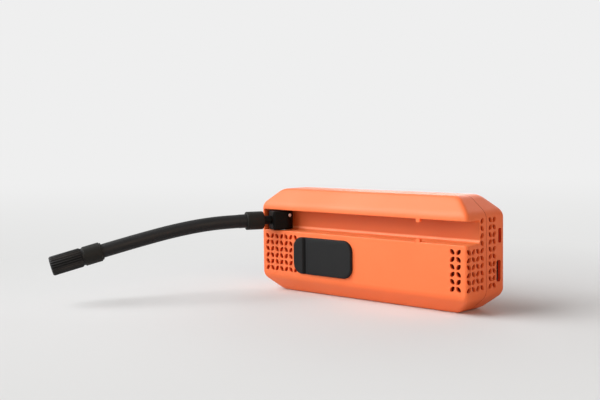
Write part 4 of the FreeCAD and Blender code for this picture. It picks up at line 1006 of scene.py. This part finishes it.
def make_stage():
    """A floor that curves up into a wall behind the object."""
    near, bend_start, bend_radius, top, half_wide = -4.0, 1.6, 1.4, 4.5, 6.0
    under_object = 0.00005
    bend_steps = 24
    profile = [(near, 0.0)]
    for step in range(bend_steps + 1):
        bend = math.radians(90 * step / bend_steps)
        profile.append((bend_start + bend_radius * math.sin(bend), bend_radius * (1 - math.cos(bend))))
    profile.append((bend_start + bend_radius, top))
    side = Vector((VIEW_WAY.y, -VIEW_WAY.x, 0))
    points = []
    for reach, rise in profile:
        for across in (-half_wide, half_wide):
            points.append(VIEW_WAY * reach + side * across + UP * (rise - under_object))
    faces = [(2 * row, 2 * row + 1, 2 * row + 3, 2 * row + 2) for row in range(len(profile) - 1)]
    mesh = bpy.data.meshes.new("floor")
    mesh.from_pydata(points, [], faces)
    mesh.shade_smooth()
    mesh.materials.append(floor_finish())
    floor = bpy.data.objects.new("floor", mesh)
    bpy.context.scene.collection.objects.link(floor)


def soft_lamp(name, place, target, size, power, tint=WHITE):
    data = bpy.data.lights.new(name, "AREA")
    data.shape = "RECTANGLE"
    data.size, data.size_y = size
    data.energy = power
    data.color = tint
    lamp = bpy.data.objects.new(name, data)
    lamp.location = place
    lamp.rotation_euler = (Vector(target) - Vector(place)).to_track_quat("-Z", "Y").to_euler()
    bpy.context.scene.collection.objects.link(lamp)


def make_surroundings():
    """A white room that lights the object dimly, and looks pale itself."""
    world = bpy.data.worlds.new("studio")
    world.use_nodes = True
    room = Shading(world.node_tree)
    dim = world.node_tree.nodes["Background"]
    room.feed(dim.inputs["Color"], (*WHITE, 1.0))
    room.feed(dim.inputs["Strength"], 0.17)
    pale = room.add("ShaderNodeBackground", {}, {"Color": rgb(232, 232, 232)})
    shown = {0: room.seen(), 1: Signal(room, dim.outputs[0]), 2: pale}
    mixed = room.add("ShaderNodeMixShader", {}, shown)
    room.feed(world.node_tree.nodes["World Output"].inputs["Surface"], mixed)
    bpy.context.scene.world = world
    bpy.context.scene.view_settings.view_transform = "Standard"


def make_light():
    soft_lamp("key", (-1.15, -1.0, 1.4), (0, 0, 0.03), (2.0, 1.5), 46.0)
    soft_lamp("fill", (-1.1, -1.6, 0.9), (0, 0, 0.04), (1.8, 1.3), 23.0)
    soft_lamp("side", (1.6, -0.8, 0.55), (0.08, 0, 0.04), (1.1, 0.8), 10.0, (1.0, 0.7, 0.48))
    soft_lamp("rear", (-0.7, 1.8, 0.6), (0, 0, 0.04), (1.6, 0.8), 13.0)
    make_surroundings()


# The whole inflator

HOSE_NODES = (
    "swivel_block",
    "pivot_screw",
    "pivot_orings",
    "far_ferrule",
    "chuck_stem",
    "chuck_gasket",
    "depressor_pin",
)

place_camera()
hose, hose_line = make_hose()
dress_cad_nodes()
make_cover()
make_plug()
make_shade_sheets()
nut = make_nut()
make_buttons()
fittings = [nut] + make_near_ferrule(hose_line) + [nodes[name] for name in HOSE_NODES]
declare_hose(hose_line)
make_stage()
make_light()
